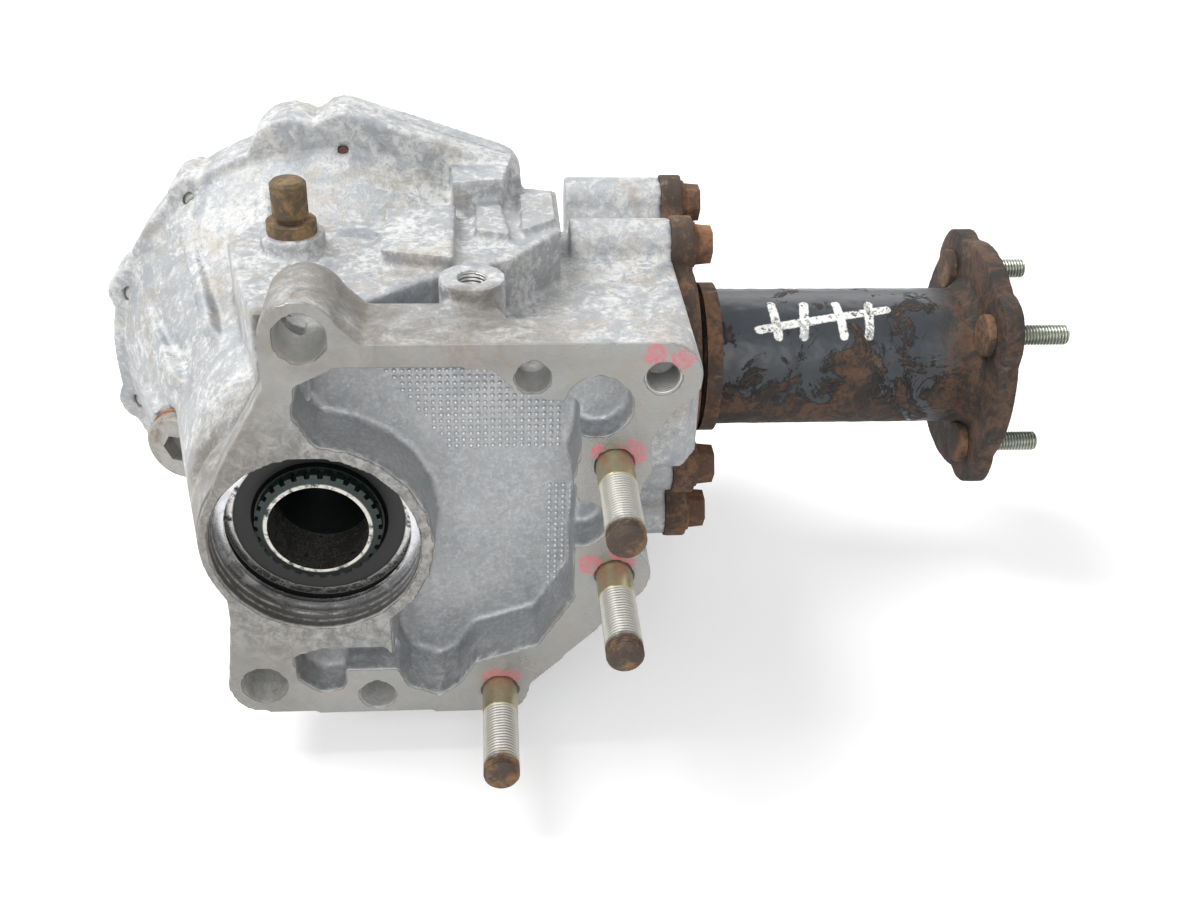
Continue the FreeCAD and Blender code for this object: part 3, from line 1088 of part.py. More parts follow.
nodes.append(ring("pinion_spacer", "output", head_end, d.tail_bearing_x - head_end, d.head_seat_dia, d.head_seat_dia + 5.0))
nodes.append(ring("pinion_washer", "output", nut_x - d.washer_depth, d.washer_depth, d.nut_thread_dia + 0.6, d.nut_hex + 3.0))
nodes.append(ring("dust_deflector", "output", d.deflector_x + 1.0, d.deflector_width, d.tube_dia, d.deflector_dia))
nut = new_body("pinion_nut")
add_pad(nut, "nut_hex", "x", nut_x, d.nut_length, [(d.output_y + y, z) for y, z in hexagon(d.nut_hex)])
cut_pocket(nut, "nut_thread", "x", nut_x - END, d.nut_length + 2 * END, (d.output_y, 0.0, d.nut_thread_dia / 2))
nodes.append(nut)
torus = document.addObject("Part::Torus", "extension_o_ring")
torus.Label = "extension_o_ring"
bind(torus, "Radius1", d.housing_pilot_dia / 2 - d.o_ring_dia / 2 - d.pilot_gap)
bind(torus, "Radius2", d.o_ring_dia / 2)
place(torus, "Placement", d.case_end_x - 8.5, d.output_y, 0.0, TURNS["+x"])
nodes.append(torus)

bearings = (
    ("input_front_bearing", "input", d.input_bearing_y, d.input_bearing_width, d.input_seat_dia, d.input_bearing_dia, 1, 18),
    ("input_rear_bearing", "input", d.rear_bearing_y, d.rear_bearing_width, d.input_seat_dia, d.input_bearing_dia, -1, 18),
    ("pinion_head_bearing", "output", d.head_bearing_x, d.head_bearing_width, d.head_seat_dia, d.head_bearing_dia, -1, 14),
    ("pinion_tail_bearing", "output", d.tail_bearing_x, d.tail_bearing_width, d.tail_seat_dia, d.tail_bearing_dia, 1, 13),
)
for bearing in bearings:
    nodes.append(taper_bearing(*bearing))
    nodes.append(document.getObject(bearing[0] + "_inner_race"))
    nodes.append(document.getObject(bearing[0] + "_outer_race"))

# ---------------------------------------------------------------------------------------------
# Rebuild, test and write
# ---------------------------------------------------------------------------------------------
document.recompute()
faults = []
for thing in document.Objects:
    if "Invalid" in thing.State or "Error" in thing.State:
        faults.append(f"{thing.Label} is {thing.State}")
    if thing.TypeId in ("PartDesign::Pocket", "PartDesign::Groove") and thing.BaseFeature:
        if thing.Shape.isNull() or thing.Shape.Volume > thing.BaseFeature.Shape.Volume - 0.01:
            faults.append(f"{thing.Label} cuts nothing")
for node in nodes:
    if node.Shape.isNull() or not node.Shape.isValid() or not node.Shape.Solids:
        faults.append(f"{node.Label} has no valid solid")
if faults:
    raise RuntimeError("; ".join(faults))
os.makedirs("parts", exist_ok=True)
for node in nodes:
    node.Shape.exportStep(f"parts/{node.Label}.step")
    print(node.Label, len(node.Shape.Solids), "solids", round(node.Shape.Volume / 1000.0, 2), "cm3")
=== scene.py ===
import contextlib
import functools
import json
import math

import bmesh
import bpy
from mathutils import Matrix, Vector


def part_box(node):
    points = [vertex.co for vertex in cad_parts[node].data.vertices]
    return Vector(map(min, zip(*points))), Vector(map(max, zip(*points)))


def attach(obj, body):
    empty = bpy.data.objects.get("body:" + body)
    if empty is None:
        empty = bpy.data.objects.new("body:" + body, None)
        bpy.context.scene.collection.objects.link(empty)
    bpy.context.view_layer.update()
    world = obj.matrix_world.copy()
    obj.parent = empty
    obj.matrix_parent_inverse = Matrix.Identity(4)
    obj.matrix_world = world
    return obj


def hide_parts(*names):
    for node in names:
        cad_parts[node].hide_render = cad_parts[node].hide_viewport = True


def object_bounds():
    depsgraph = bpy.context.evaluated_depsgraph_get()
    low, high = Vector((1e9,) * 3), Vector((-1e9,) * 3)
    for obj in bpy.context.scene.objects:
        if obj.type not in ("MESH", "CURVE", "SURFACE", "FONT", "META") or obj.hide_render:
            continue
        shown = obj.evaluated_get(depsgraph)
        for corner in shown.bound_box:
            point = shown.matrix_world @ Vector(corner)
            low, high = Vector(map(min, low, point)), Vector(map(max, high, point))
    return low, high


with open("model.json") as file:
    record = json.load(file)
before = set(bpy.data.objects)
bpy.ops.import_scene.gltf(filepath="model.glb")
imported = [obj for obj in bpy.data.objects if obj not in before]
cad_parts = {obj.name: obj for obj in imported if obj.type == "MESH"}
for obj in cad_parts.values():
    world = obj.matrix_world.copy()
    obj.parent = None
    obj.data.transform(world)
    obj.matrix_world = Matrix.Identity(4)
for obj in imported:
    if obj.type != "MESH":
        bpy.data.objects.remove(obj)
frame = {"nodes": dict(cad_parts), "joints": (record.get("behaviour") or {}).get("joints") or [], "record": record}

bl_info = {
    "name": "Transfer case finish",
    "version": (1, 0, 0),
    "blender": (4, 5, 0),
    "location": "3D View > Sidebar > Transfer case",
    "description": "Dresses the packed transfer case: rough castings, threads, rust and worn paint",
    "category": "Add Mesh",
}

CAD_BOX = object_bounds()
MM = 0.001
AXIS_X = (1.0, 0.0, 0.0)
AXIS_Y = (0.0, 1.0, 0.0)
IRON_VOXEL = 0.9 * MM
TUBE_RADIUS = 27.5 * MM
TURN_OUT = Matrix.Rotation(math.radians(90), 4, "X")
TURN_ALONG = Matrix.Rotation(math.radians(90), 4, "Y")
FACE_HOLES = ("upper_bolt_hole", "lower_bolt_hole", "lower_dowel_hole", "upper_dowel_hole", "tapped_hole")
STUDS = ("stud_one", "stud_two", "stud_three")
MOUNTS = {mount["name"]: mount for mount in frame["record"]["mounts"]}
OUTPUT_Y = next(joint for joint in frame["joints"] if joint["name"] == "output_spin")["pos_m"][1]


# ---- Settings a user would change ----
def colour(label, text, value):
    return bpy.props.FloatVectorProperty(
        name=label, description=text, default=value, subtype="COLOR", size=3, min=0.0, max=1.0)


def length(label, text, value):
    return bpy.props.FloatProperty(name=label, description=text, default=value, unit="LENGTH", min=0.0)


class TransferCaseSizes(bpy.types.PropertyGroup):
    casting_voxel: length("Casting voxel", "Grid size of the remeshed castings", 1.05 * MM)
    dot_pitch: length("Dot pitch", "Spacing of the cast dots in the pocket", 2.26 * MM)
    dot_radius: length("Dot radius", "Radius of one cast dot", 0.82 * MM)
    dot_floor: length("Dot floor", "Depth at which the dots stand", 22.0 * MM)
    coarse_pitch: length("Coarse pitch", "Thread pitch of the studs and bolts", 1.25 * MM)
    mating_plain: length("Plain shank", "Unthreaded length of a mating stud", 12.0 * MM)


class TransferCaseColours(bpy.types.PropertyGroup):
    casting: colour("Casting", "Body of the aluminium castings", (0.40, 0.405, 0.41))
    powder: colour("White corrosion", "Powdery bloom on the aluminium", (0.68, 0.68, 0.665))
    worn: colour("Worn casting", "Smooth blue-grey patches", (0.24, 0.265, 0.295))
    stain: colour("Stain", "Beige and brown stains", (0.34, 0.285, 0.215))
    machined: colour("Machined face", "Freshly cut aluminium", (0.27, 0.27, 0.262))
    rust_dark: colour("Dark rust", "Old dark rust", (0.055, 0.036, 0.026))
    rust_warm: colour("Warm rust", "Brighter rust", (0.19, 0.098, 0.050))
    tube_paint: colour("Tube paint", "Blue-black paint of the output tube", (0.014, 0.018, 0.023))
    pink_paint: colour("Pink paint", "Paint smears beside the studs", (0.66, 0.15, 0.19))
    zinc: colour("Yellow zinc", "Plating of the mating studs", (0.47, 0.41, 0.26))


def sizes():
    return bpy.context.scene.transfer_case_sizes


def colours():
    return bpy.context.scene.transfer_case_colours


# ---- Shader helpers ----
COLOUR, NUMBER, POINT = "NodeSocketColor", "NodeSocketFloat", "NodeSocketVector"
OBJECT_PLACE = "Object"
SURFACE = {"Base Color": COLOUR, "Roughness": NUMBER, "Height": NUMBER}


class Signal:
    """One node output that adds, subtracts and multiplies like a number."""

    def __init__(self, sheet, socket):
        self.sheet = sheet
        self.socket = socket

    def __add__(self, other):
        return self.sheet.math("ADD", self, other)

    def __sub__(self, other):
        return self.sheet.math("SUBTRACT", self, other)

    def __rsub__(self, other):
        return self.sheet.math("SUBTRACT", other, self)

    def __mul__(self, other):
        return self.sheet.math("MULTIPLY", self, other)

    def step(self, low, high):
        """0 up to low, 1 from high on, smooth between; low may be the larger."""
        return self.sheet.add("ShaderNodeMapRange", {"Value": self, "From Min": low, "From Max": high},
                              interpolation_type="SMOOTHSTEP")

    def between(self, low, high, soft=1.5 * MM):
        """1 between low and high, fading out over soft at both ends."""
        return self.step(low - soft, low + soft) * self.step(high + soft, high - soft)


class Sheet:
    """Adds nodes to one tree and joins them; a value may be a number, a colour or a Signal."""

    def __init__(self, tree):
        self.tree = tree
        self.count = 0

    def node(self, kind):
        """A new node, set out in rows so that the tree can be read."""
        node = self.tree.nodes.new(kind)
        node.location = (self.count * 190, -(self.count % 4) * 160)
        self.count += 1
        return node

    def signals(self, node):
        return {socket.name: Signal(self, socket) for socket in node.outputs}

    def feed(self, sockets, values):
        """Link a signal or set a constant on each named socket."""
        for key, value in values.items():
            socket = sockets[key]
            if isinstance(value, Signal):
                self.tree.links.new(value.socket, socket)
            elif socket.type == "RGBA":
                socket.default_value = (*value, 1.0)
            else:
                socket.default_value = value

    def add(self, kind, values=None, output=0, **settings):
        node = self.node(kind)
        for name, value in settings.items():
            setattr(node, name, value)
        self.feed(node.inputs, values or {})
        return Signal(self, node.outputs[output])

    def math(self, operation, *values, clamp=False):
        return self.add("ShaderNodeMath", dict(enumerate(values)), operation=operation, use_clamp=clamp)

    def vector(self, operation, first, second, output=0):
        return self.add("ShaderNodeVectorMath", {0: first, 1: second}, output, operation=operation)

    def noise(self, place, scale, detail=6.0, rough=0.6, distort=0.0):
        return self.add("ShaderNodeTexNoise", {
            "Vector": place, "Scale": scale, "Detail": detail, "Roughness": rough, "Distortion": distort})

    def split(self, place):
        node = self.node("ShaderNodeSeparateXYZ")
        self.feed(node.inputs, {0: place})
        return tuple(self.signals(node).values())

    def blend(self, factor, first, second, mode="MIX"):
        node = self.node("ShaderNodeMix")
        node.data_type = "RGBA"
        node.blend_type = mode
        tints = [socket for socket in node.inputs if socket.type == "RGBA"]
        self.feed((node.inputs["Factor"], *tints), dict(enumerate((factor, first, second))))
        return Signal(self, next(socket for socket in node.outputs if socket.type == "RGBA"))

    def coats(self, tone, *layers):
        """The tone with each layer, a mask and its colour, laid over it in turn."""
        return functools.reduce(lambda under, layer: self.blend(layer[0], under, layer[1]), layers, tone)

    def speckled(self, share, tone, grain, bright):
        """The tone with dark and bright grains laid over it."""
        return self.blend(share, tone, self.blend(grain, (0.12,) * 3, (bright,) * 3), "OVERLAY")

    def group(self, tree, values):
        """A node group in this tree; its outputs come back by name."""
        node = self.node("ShaderNodeGroup")
        node.node_tree = tree
        self.feed(node.inputs, values)
        return self.signals(node)


def fold(operation, signals):
    """All signals joined by one operation, such as their highest or lowest."""
    return functools.reduce(lambda first, second: first.sheet.math(operation, first, second), signals)


def shaded(tone, share):
    return tuple(min(1.0, part * share) for part in tone)


def node_group(name, inputs, outputs, fill, kind="ShaderNodeTree"):
    """The node group of that name; inputs and outputs map each label to its kind of socket, and
    fill(sheet, inputs by name) returns the outputs by name."""
    if name in bpy.data.node_groups:
        return bpy.data.node_groups[name]
    tree = bpy.data.node_groups.new(name, kind)
    for side, sockets in (("INPUT", inputs), ("OUTPUT", outputs)):
        for label, socket_kind in sockets.items():
            tree.interface.new_socket(name=label, in_out=side, socket_type=socket_kind)
    sheet = Sheet(tree)
    given = sheet.signals(tree.nodes.new("NodeGroupInput"))
    sheet.feed(tree.nodes.new("NodeGroupOutput").inputs, fill(sheet, given))
    return tree


def weathered_casting():
    """Sand-cast aluminium: fine white bloom, smooth worn patches, beige stains and grain."""
    def fill(sheet, given):
        place = given["Place"]
        areas = sheet.noise(place, 34.0, 6.0, 0.6, 0.5).step(0.40, 0.64)
        speckle = sheet.noise(place, 400.0, 8.0, 0.74, 0.5)
        mottle = sheet.noise(place, 150.0, 8.0, 0.72, 0.9)
        grain = sheet.noise(place, 1500.0, 3.0, 0.65)
        powder = speckle * 0.6 + mottle * 0.4 + areas * 0.07
        bloom = powder.step(0.49, 0.62) * given["Bloom"]
        rubbed = sheet.noise(place, 52.0, 5.0, 0.55, 0.7) + speckle * 0.22
        worn = rubbed.step(0.66, 0.76) * given["Wear"]
        dirt = sheet.noise(place, 42.0, 7.0, 0.68, 1.0) + speckle * 0.2
        stained = dirt.step(0.60, 0.76) * given["Stains"]
        pits = speckle.step(0.40, 0.30)
        tone = sheet.blend(0.35, given["Body"], given["Worn"])
        tone = sheet.blend(mottle.step(0.38, 0.62), tone, given["Body"])
        tone = sheet.coats(
            tone, (bloom * 0.8, given["Powder"]), (worn * 0.72, given["Worn"]),
            (stained * 0.6, given["Stain"]), (pits * 0.5, (0.13, 0.125, 0.12)))
        return {
            "Base Color": sheet.speckled(0.28, tone, grain, 0.95),
            "Roughness": bloom * 0.22 + 0.52 - worn * 0.16, "Metallic": 0.5 - bloom * 0.45,
            "Height": mottle * 0.5 + speckle * 0.75 + grain * 0.2}

    inputs = {
        "Place": POINT, "Body": COLOUR, "Powder": COLOUR, "Worn": COLOUR, "Stain": COLOUR,
        "Bloom": NUMBER, "Wear": NUMBER, "Stains": NUMBER}
    return node_group("weathered_casting", inputs, {**SURFACE, "Metallic": NUMBER}, fill)


def rust_bloom():
    """Layered rust with dark scale, warm bloom, pale dust and pits."""
    def fill(sheet, given):
        place = given["Place"]
        scale = sheet.noise(place, 60.0, 8.0, 0.7, 0.7)
        fine = sheet.noise(place, 420.0, 6.0, 0.7)
        pits = sheet.noise(place, 900.0, 3.0, 0.6)
        pale = sheet.noise(place, 110.0, 6.0, 0.7, 1.0).step(0.58, 0.70)
        warm = (scale + fine * 0.45).step(0.66, 0.86)
        tone = sheet.blend(warm, given["Dark"], given["Warm"])
        tone = sheet.blend(pale * given["Dust"], tone, (0.30, 0.25, 0.20))
        return {
            "Base Color": sheet.speckled(0.35, tone, pits, 0.9), "Roughness": fine * 0.25 + 0.68,
            "Height": scale * 0.9 + fine * 0.8}

    inputs = {"Place": POINT, "Dark": COLOUR, "Warm": COLOUR, "Dust": NUMBER}
    return node_group("rust_bloom", inputs, SURFACE, fill)


def paint_stroke():
    """A brushed stroke of paint between two points of a flat map, with ragged edges."""
    def fill(sheet, given):
        line = sheet.vector("SUBTRACT", given["End"], given["Start"])
        away = sheet.vector("SUBTRACT", given["Map"], given["Start"])
        along = sheet.vector("DOT_PRODUCT", away, line, output=1)
        whole = sheet.vector("DOT_PRODUCT", line, line, output=1)
        share = sheet.math("DIVIDE", along, whole, clamp=True)
        foot = sheet.add("ShaderNodeVectorMath", {0: line, "Scale": share}, operation="SCALE")
        ragged = sheet.noise(given["Map"], 300.0, 5.0, 0.7) * (1.6 * MM) - 0.8 * MM
        gap = sheet.vector("DISTANCE", away, foot, output=1) + ragged
        return {"Mask": gap.step(2.0 * MM, 1.5 * MM)}

    return node_group("paint_stroke", {"Map": POINT, "Start": POINT, "End": POINT}, {"Mask": NUMBER}, fill)


def finish(name):
    return bpy.data.materials["finish_" + name]


def new_material(name, look, *settings):
    """A material; look(sheet, place, ...) returns Principled inputs, and the bump's Height and Depth."""
    material = bpy.data.materials.new("finish_" + name)
    material.use_nodes = True
    tree = material.node_tree
    sheet = Sheet(tree)
    values = look(sheet, sheet.add("ShaderNodeTexCoord", output=OBJECT_PLACE), *settings)
    height, depth = values.pop("Height"), values.pop("Depth")
    values["Normal"] = sheet.add("ShaderNodeBump", {"Height": height, "Distance": depth, "Strength": 1.0})
    sheet.feed(tree.nodes["Principled BSDF"].inputs, values)


def cast_skin(sheet, place, bloom, wear, stains):
    tint = colours()
    return sheet.group(weathered_casting(), {
        "Place": place, "Body": tint.casting, "Powder": tint.powder, "Worn": tint.worn, "Stain": tint.stain,
        "Bloom": bloom, "Wear": wear, "Stains": stains})


def rust_skin(sheet, place, dark, warm, dust):
    return sheet.group(rust_bloom(), {"Place": place, "Dark": dark, "Warm": warm, "Dust": dust})


def axis_gap(x, z, centre=(0.0, 0.0)):
    """Distance from a line along Y through the centre."""
    sheet = x.sheet
    squares = [sheet.math("POWER", value - middle, 2.0) for value, middle in zip((x, z), centre)]
    return sheet.math("SQRT", squares[0] + squares[1])


def hole_walls(x, z):
    """1 on the drilled walls of the mating face's holes."""
    walls = []
    for name in FACE_HOLES:
        at, radius = MOUNTS[name]["pos_m"], MOUNTS[name]["dims"]["r_mm"] * MM
        walls.append(axis_gap(x, z, (at[0], at[2])).step(radius + 0.5 * MM, radius + 0.25 * MM))
    return fold("MAXIMUM", walls)


# mount, then side, height and radius of each dab of paint in millimetres
DABS = (("stud_one", 5.0, 4.5, 5.0), ("stud_one", -5.5, 5.5, 3.0), ("stud_two", -8.0, 5.0, 4.5),
        ("stud_two", 2.5, 7.0, 5.0), ("stud_three", -2.0, 6.0, 4.5), ("stud_three", 4.0, 6.5, 3.5),
        ("tapped_hole", 5.0, 6.5, 4.0), ("tapped_hole", -3.0, 8.0, 4.0))


def paint_dabs(sheet, place):
    """Streaky dabs of marking paint over the stud roots and round the tapped hole."""
    ragged = sheet.noise(place, 260.0, 7.0, 0.78, 1.2) * (8.0 * MM) - 4.0 * MM
    dabs = []
    for name, side, up, radius in DABS:
        at = MOUNTS[name]["pos_m"]
        middle = Vector((at[0] + side * MM, 0.0, at[2] + up * MM))
        gap = sheet.vector("DISTANCE", place, middle, output=1) + ragged
        dabs.append(gap.step(radius * MM, (radius - 0.8) * MM))
    return fold("MAXIMUM", dabs) * sheet.noise(place, 620.0, 6.0, 0.7, 1.0).step(0.36, 0.60)


def case_look(sheet, place):
    """The casting with its clean pocket, milled face, pitted rim, oily bore, drilled holes and paint."""
    tint = colours()
    x, y, z = sheet.split(place)
    from_axis = axis_gap(x, z)
    cast = cast_skin(sheet, place, 1.0, 0.9, 0.8)
    fine = sheet.noise(place, 420.0, 7.0, 0.72, 0.4)
    # the pocket floor is cleaner and smoother than the outside
    pocket = x.between(-13.0 * MM, 100.0 * MM) * y.between(3.0 * MM, 34.0 * MM)
    pocket = pocket * z.between(-64.0 * MM, 62.0 * MM)
    shade = sheet.noise(place, 40.0, 5.0, 0.6, 0.6).step(0.35, 0.65)
    frost = sheet.noise(place, 700.0, 6.0, 0.75, 0.3).step(0.44, 0.66)
    clean = sheet.blend(fine, (0.24, 0.25, 0.262), (0.52, 0.53, 0.535))
    clean = sheet.coats(clean, (shade * 0.6, (0.27, 0.288, 0.31)), (frost * 0.5, (0.62, 0.63, 0.635)))
    # the milled face shows its grey metal under a thin film
    face = y.step(0.9 * MM, 0.35 * MM)
    swirl = sheet.add("ShaderNodeMapping", {
        "Vector": place, "Scale": (1.0, 1.0, 7.0), "Rotation": (0, 0.6, 0)})
    film = sheet.noise(place, 85.0, 7.0, 0.7, 0.7).step(0.46, 0.66)
    cut = sheet.blend(sheet.noise(swirl, 320.0, 7.0, 0.75), (0.15, 0.15, 0.145), (0.42, 0.42, 0.40))
    # round the input bore the face is darker and pitted
    pitted = sheet.noise(place, 230.0, 9.0, 0.8, 0.6).step(0.40, 0.62)
    dirty = sheet.blend(pitted, (0.075, 0.070, 0.062), (0.34, 0.335, 0.32))
    near = from_axis.step(62.0 * MM, 36.0 * MM)
    cut = sheet.coats(cut, (0.5, tint.machined), (film * 0.4, tint.stain), (near * 0.72, dirty))
    # oily brown grime lies on the rim round the input bore and on top of the flange
    patchy = sheet.noise(place, 60.0, 8.0, 0.72, 0.8).step(0.36, 0.60)
    left = x.step(4.0 * MM, -16.0 * MM) * y.step(42.0 * MM, 24.0 * MM)
    top = z.step(57.0 * MM, 66.0 * MM) * y.step(33.0 * MM, 24.0 * MM) * x.step(92.0 * MM, 60.0 * MM)
    grime = fold("MAXIMUM", (left, top)) * (patchy * 0.5 + 0.32) * (1.0 - face * 0.45)
    oil = sheet.blend(fine, (0.085, 0.073, 0.057), (0.235, 0.212, 0.178))
    # the bore's wall carries dark oil with bright rubbed bands, the drilled holes stay clean
    wall = from_axis.step(37.5 * MM, 36.8 * MM) * y.step(0.7 * MM, 1.5 * MM)
    bands = sheet.math("SINE", y * 1900.0).step(0.1, 0.8)
    oily = sheet.blend(bands * pitted, (0.055, 0.048, 0.040), (0.50, 0.49, 0.46))
    drilled = hole_walls(x, z) * y.between(0.9 * MM, 26.5 * MM, 0.3 * MM)
    bright = sheet.blend(fine, (0.36, 0.36, 0.35), (0.72, 0.72, 0.70))
    dabs = paint_dabs(sheet, place) * y.step(3.0 * MM, 0.5 * MM)
    tone = sheet.coats(
        cast["Base Color"], (pocket * 0.86, clean), (face * 0.85, cut), (grime, oil), (wall * 0.85, oily),
        (drilled * 0.85, bright), (dabs * 0.88, tint.pink_paint))
    return {
        "Base Color": tone, "Roughness": cast["Roughness"] - face * 0.15 - pocket * 0.10,
        "Metallic": fold("MAXIMUM", (cast["Metallic"], face * 0.7)) * (1.0 - dabs),
        "Height": cast["Height"] * (1.0 - pocket * 0.55) * (1.0 - face * 0.6), "Depth": 0.6 * MM}


def cast_look(sheet, place, bloom, wear, stains):
    return {**cast_skin(sheet, place, bloom, wear, stains), "Depth": 0.55 * MM}


def rust_look(sheet, place, dark, warm, dust, depth):
    return {**rust_skin(sheet, place, dark, warm, dust), "Depth": depth}


# each stroke's two ends in millimetres: along the tube, then round it from the top
STROKES = (((167.0, 7.0), (168.5, 22.0)), ((180.0, 7.0), (178.5, 22.0)), ((193.0, 7.0), (194.5, 22.0)),
           ((206.0, 7.0), (204.5, 22.0)), ((161.0, 19.0), (213.0, 10.0)))


def tube_look(sheet, place):
    """Blue-black paint, rust blooms that thicken underneath, and white tally strokes."""
    x, y, z = sheet.split(place)
    rust = rust_skin(sheet, place, (0.020, 0.015, 0.012), (0.095, 0.050, 0.029), 0.18)
    lower = z.step(22.0 * MM, -20.0 * MM)
    start = x.step(152.0 * MM, 143.0 * MM)
    end = x.step(226.0 * MM, 247.0 * MM)
    blotch = sheet.noise(place, 48.0, 9.0, 0.72, 0.9) + sheet.noise(place, 260.0, 6.0, 0.7) * 0.22
    bare = (blotch + fold("MAXIMUM", (lower, start * 0.8)) * 0.17).step(0.655, 0.73)
    bare = fold("MAXIMUM", (bare, end))
    film = sheet.noise(place, 130.0, 6.0, 0.7)
    paint = sheet.blend(film, colours().tube_paint, (0.036, 0.042, 0.050))
    # the strokes lie on a map of the tube: x along it, arc length round it from the top
    arc = sheet.math("ARCTAN2", OUTPUT_Y - y, z) * TUBE_RADIUS
    flat = sheet.add("ShaderNodeCombineXYZ", {0: x, 1: arc})
    strokes = fold("MAXIMUM", [sheet.group(paint_stroke(), {
        "Map": flat, "Start": (*(part * MM for part in first), 0.0),
        "End": (*(part * MM for part in last), 0.0)})["Mask"] for first, last in STROKES])
    strokes = strokes * sheet.noise(place, 420.0, 6.0, 0.75).step(0.36, 0.46)
    tone = sheet.blend(strokes, sheet.blend(bare, paint, rust["Base Color"]), (0.80, 0.80, 0.77))
    return {
        "Base Color": tone, "Roughness": bare * 0.46 + 0.30,
        "Height": bare * (rust["Height"] + 0.3) + strokes * 0.35, "Depth": 0.6 * MM}


def metal_look(sheet, place, tone, rough, metal, streak, dirt, dirt_tone=(0.06, 0.055, 0.05)):
    """Plain metal or rubber with a little grime."""
    fine = sheet.noise(place, 520.0, 5.0, 0.7)
    blot = sheet.noise(place, 95.0, 7.0, 0.7, 0.6).step(0.48, 0.68)
    base = sheet.blend(fine, shaded(tone, 1 - streak), shaded(tone, 1 + streak))
    return {"Base Color": sheet.blend(blot * dirt, base, dirt_tone), "Roughness": blot * 0.25 + rough,
            "Metallic": metal, "Height": fine, "Depth": 0.05 * MM}


def stud_look(sheet, place, tone, thread_tone, axis, thread_from, rust_from, centres, painted_groove_shade):
    """Plated stud: tinted root, bright thread crests over painted shade in the grooves, and an end that has
    rusted.
    """
    along = sheet.split(place)["xyz".index(axis)]
    ragged = sheet.noise(place, 180.0, 6.0, 0.7) * (6.0 * MM) - 3.0 * MM
    tip = (along + ragged).step(*rust_from)
    rust = rust_skin(sheet, place, colours().rust_dark, (0.22, 0.12, 0.05), 0.2)
    fine = sheet.noise(place, 420.0, 5.0, 0.7)
    root = sheet.blend(fine, shaded(tone, 0.6), shaded(tone, 1.2))
    cut = sheet.blend(fine, shaded(thread_tone, 0.75), shaded(thread_tone, 1.2))
    # distance from the nearest stud's own axis tells crest from groove, and the grooves get painted shade
    flat = Vector([0.0 if letter == axis else 1.0 for letter in "xyz"])
    seen = sheet.vector("MULTIPLY", place, flat)
    reach = fold("MINIMUM", [
        sheet.vector("DISTANCE", seen, Vector(centre) * flat, output=1) for centre in centres])
    # painted shade: a dark tone laid into the thread grooves
    cut = sheet.blend(reach.step(*painted_groove_shade) * 0.75, cut, (0.09, 0.085, 0.075))
    base = sheet.blend(along.step(*thread_from), root, cut)
    return {
        "Base Color": sheet.blend(tip, base, rust["Base Color"]), "Roughness": tip * 0.35 + 0.36,
        "Metallic": 0.75 - tip * 0.7, "Height": fine, "Depth": 0.06 * MM}


def ringed_look(sheet, place, tone, ring_tone, ring, front, rough, metal):
    """A dark turned piece on the input axis with one bright rubbed ring near its front."""
    x, y, z = sheet.split(place)
    fine = sheet.noise(place, 480.0, 6.0, 0.72)
    dark = sheet.blend(fine, shaded(tone, 0.6), shaded(tone, 1.5))
    rubbed = axis_gap(x, z).between(*ring, 0.25 * MM) * y.step(front, front - 1 * MM)
    rubbed = rubbed * sheet.noise(place, 240.0, 7.0, 0.75).step(0.36, 0.52)
    base = sheet.blend(rubbed, dark, sheet.blend(fine, shaded(ring_tone, 0.7), ring_tone))
    return {
        "Base Color": base, "Roughness": rubbed * (0.24 - rough) + rough,
        "Metallic": rubbed * (0.95 - metal) + metal, "Height": fine, "Depth": 0.05 * MM}


def cover_bolt_look(sheet, place):
    """Bolt steel; the tips and dowels by the top of the cover joint have gone red-brown."""
    x, y, z = sheet.split(place)
    rust = rust_skin(sheet, place, (0.11, 0.045, 0.035), (0.24, 0.10, 0.075), 0.25)
    fine = sheet.noise(place, 520.0, 5.0, 0.7)
    steel = sheet.blend(fine, (0.26, 0.25, 0.235), (0.50, 0.49, 0.46))
    red = x.between(-26.0 * MM, 14.0 * MM) * z.step(66.0 * MM, 70.0 * MM)
    red = red * y.step(131.0 * MM, 125.0 * MM)
    blot = sheet.noise(place, 95.0, 7.0, 0.7, 0.6).step(0.52, 0.68)
    red = fold("MAXIMUM", (red, blot * 0.6))
    return {
        "Base Color": sheet.blend(red, steel, rust["Base Color"]), "Roughness": red * 0.3 + 0.42,
        "Metallic": red * -0.7 + 0.75, "Height": fine, "Depth": 0.06 * MM}


# ---- Mesh helpers ----
def link_object(name, mesh):
    piece = bpy.data.objects.new(name, mesh)
    bpy.context.scene.collection.objects.link(piece)
    return piece


def linked_shape(name, shape):
    """A scene object from a finished bmesh, which is freed."""
    mesh = bpy.data.meshes.new(name)
    shape.to_mesh(mesh)
    shape.free()
    return link_object(name, mesh)


@contextlib.contextmanager
def editing(mesh):
    """The mesh opened as a bmesh and written back at the end of the block."""
    shape = bmesh.new()
    shape.from_mesh(mesh)
    yield shape
    shape.to_mesh(mesh)
    shape.free()


def baked(piece, name):
    """The piece with its modifiers applied, as a plain mesh object."""
    evaluated = piece.evaluated_get(bpy.context.evaluated_depsgraph_get())
    mesh = bpy.data.meshes.new_from_object(evaluated)
    mesh.name = name
    bpy.data.objects.remove(piece)
    return link_object(name, mesh)


def closed_copy(node_name, name):
    """A merged copy of a CAD node's mesh."""
    mesh = frame["nodes"][node_name].data.copy()
    with editing(mesh) as shape:
        bmesh.ops.remove_doubles(shape, verts=shape.verts, dist=0.002 * MM)
    mesh.materials.clear()
    return link_object(name, mesh)


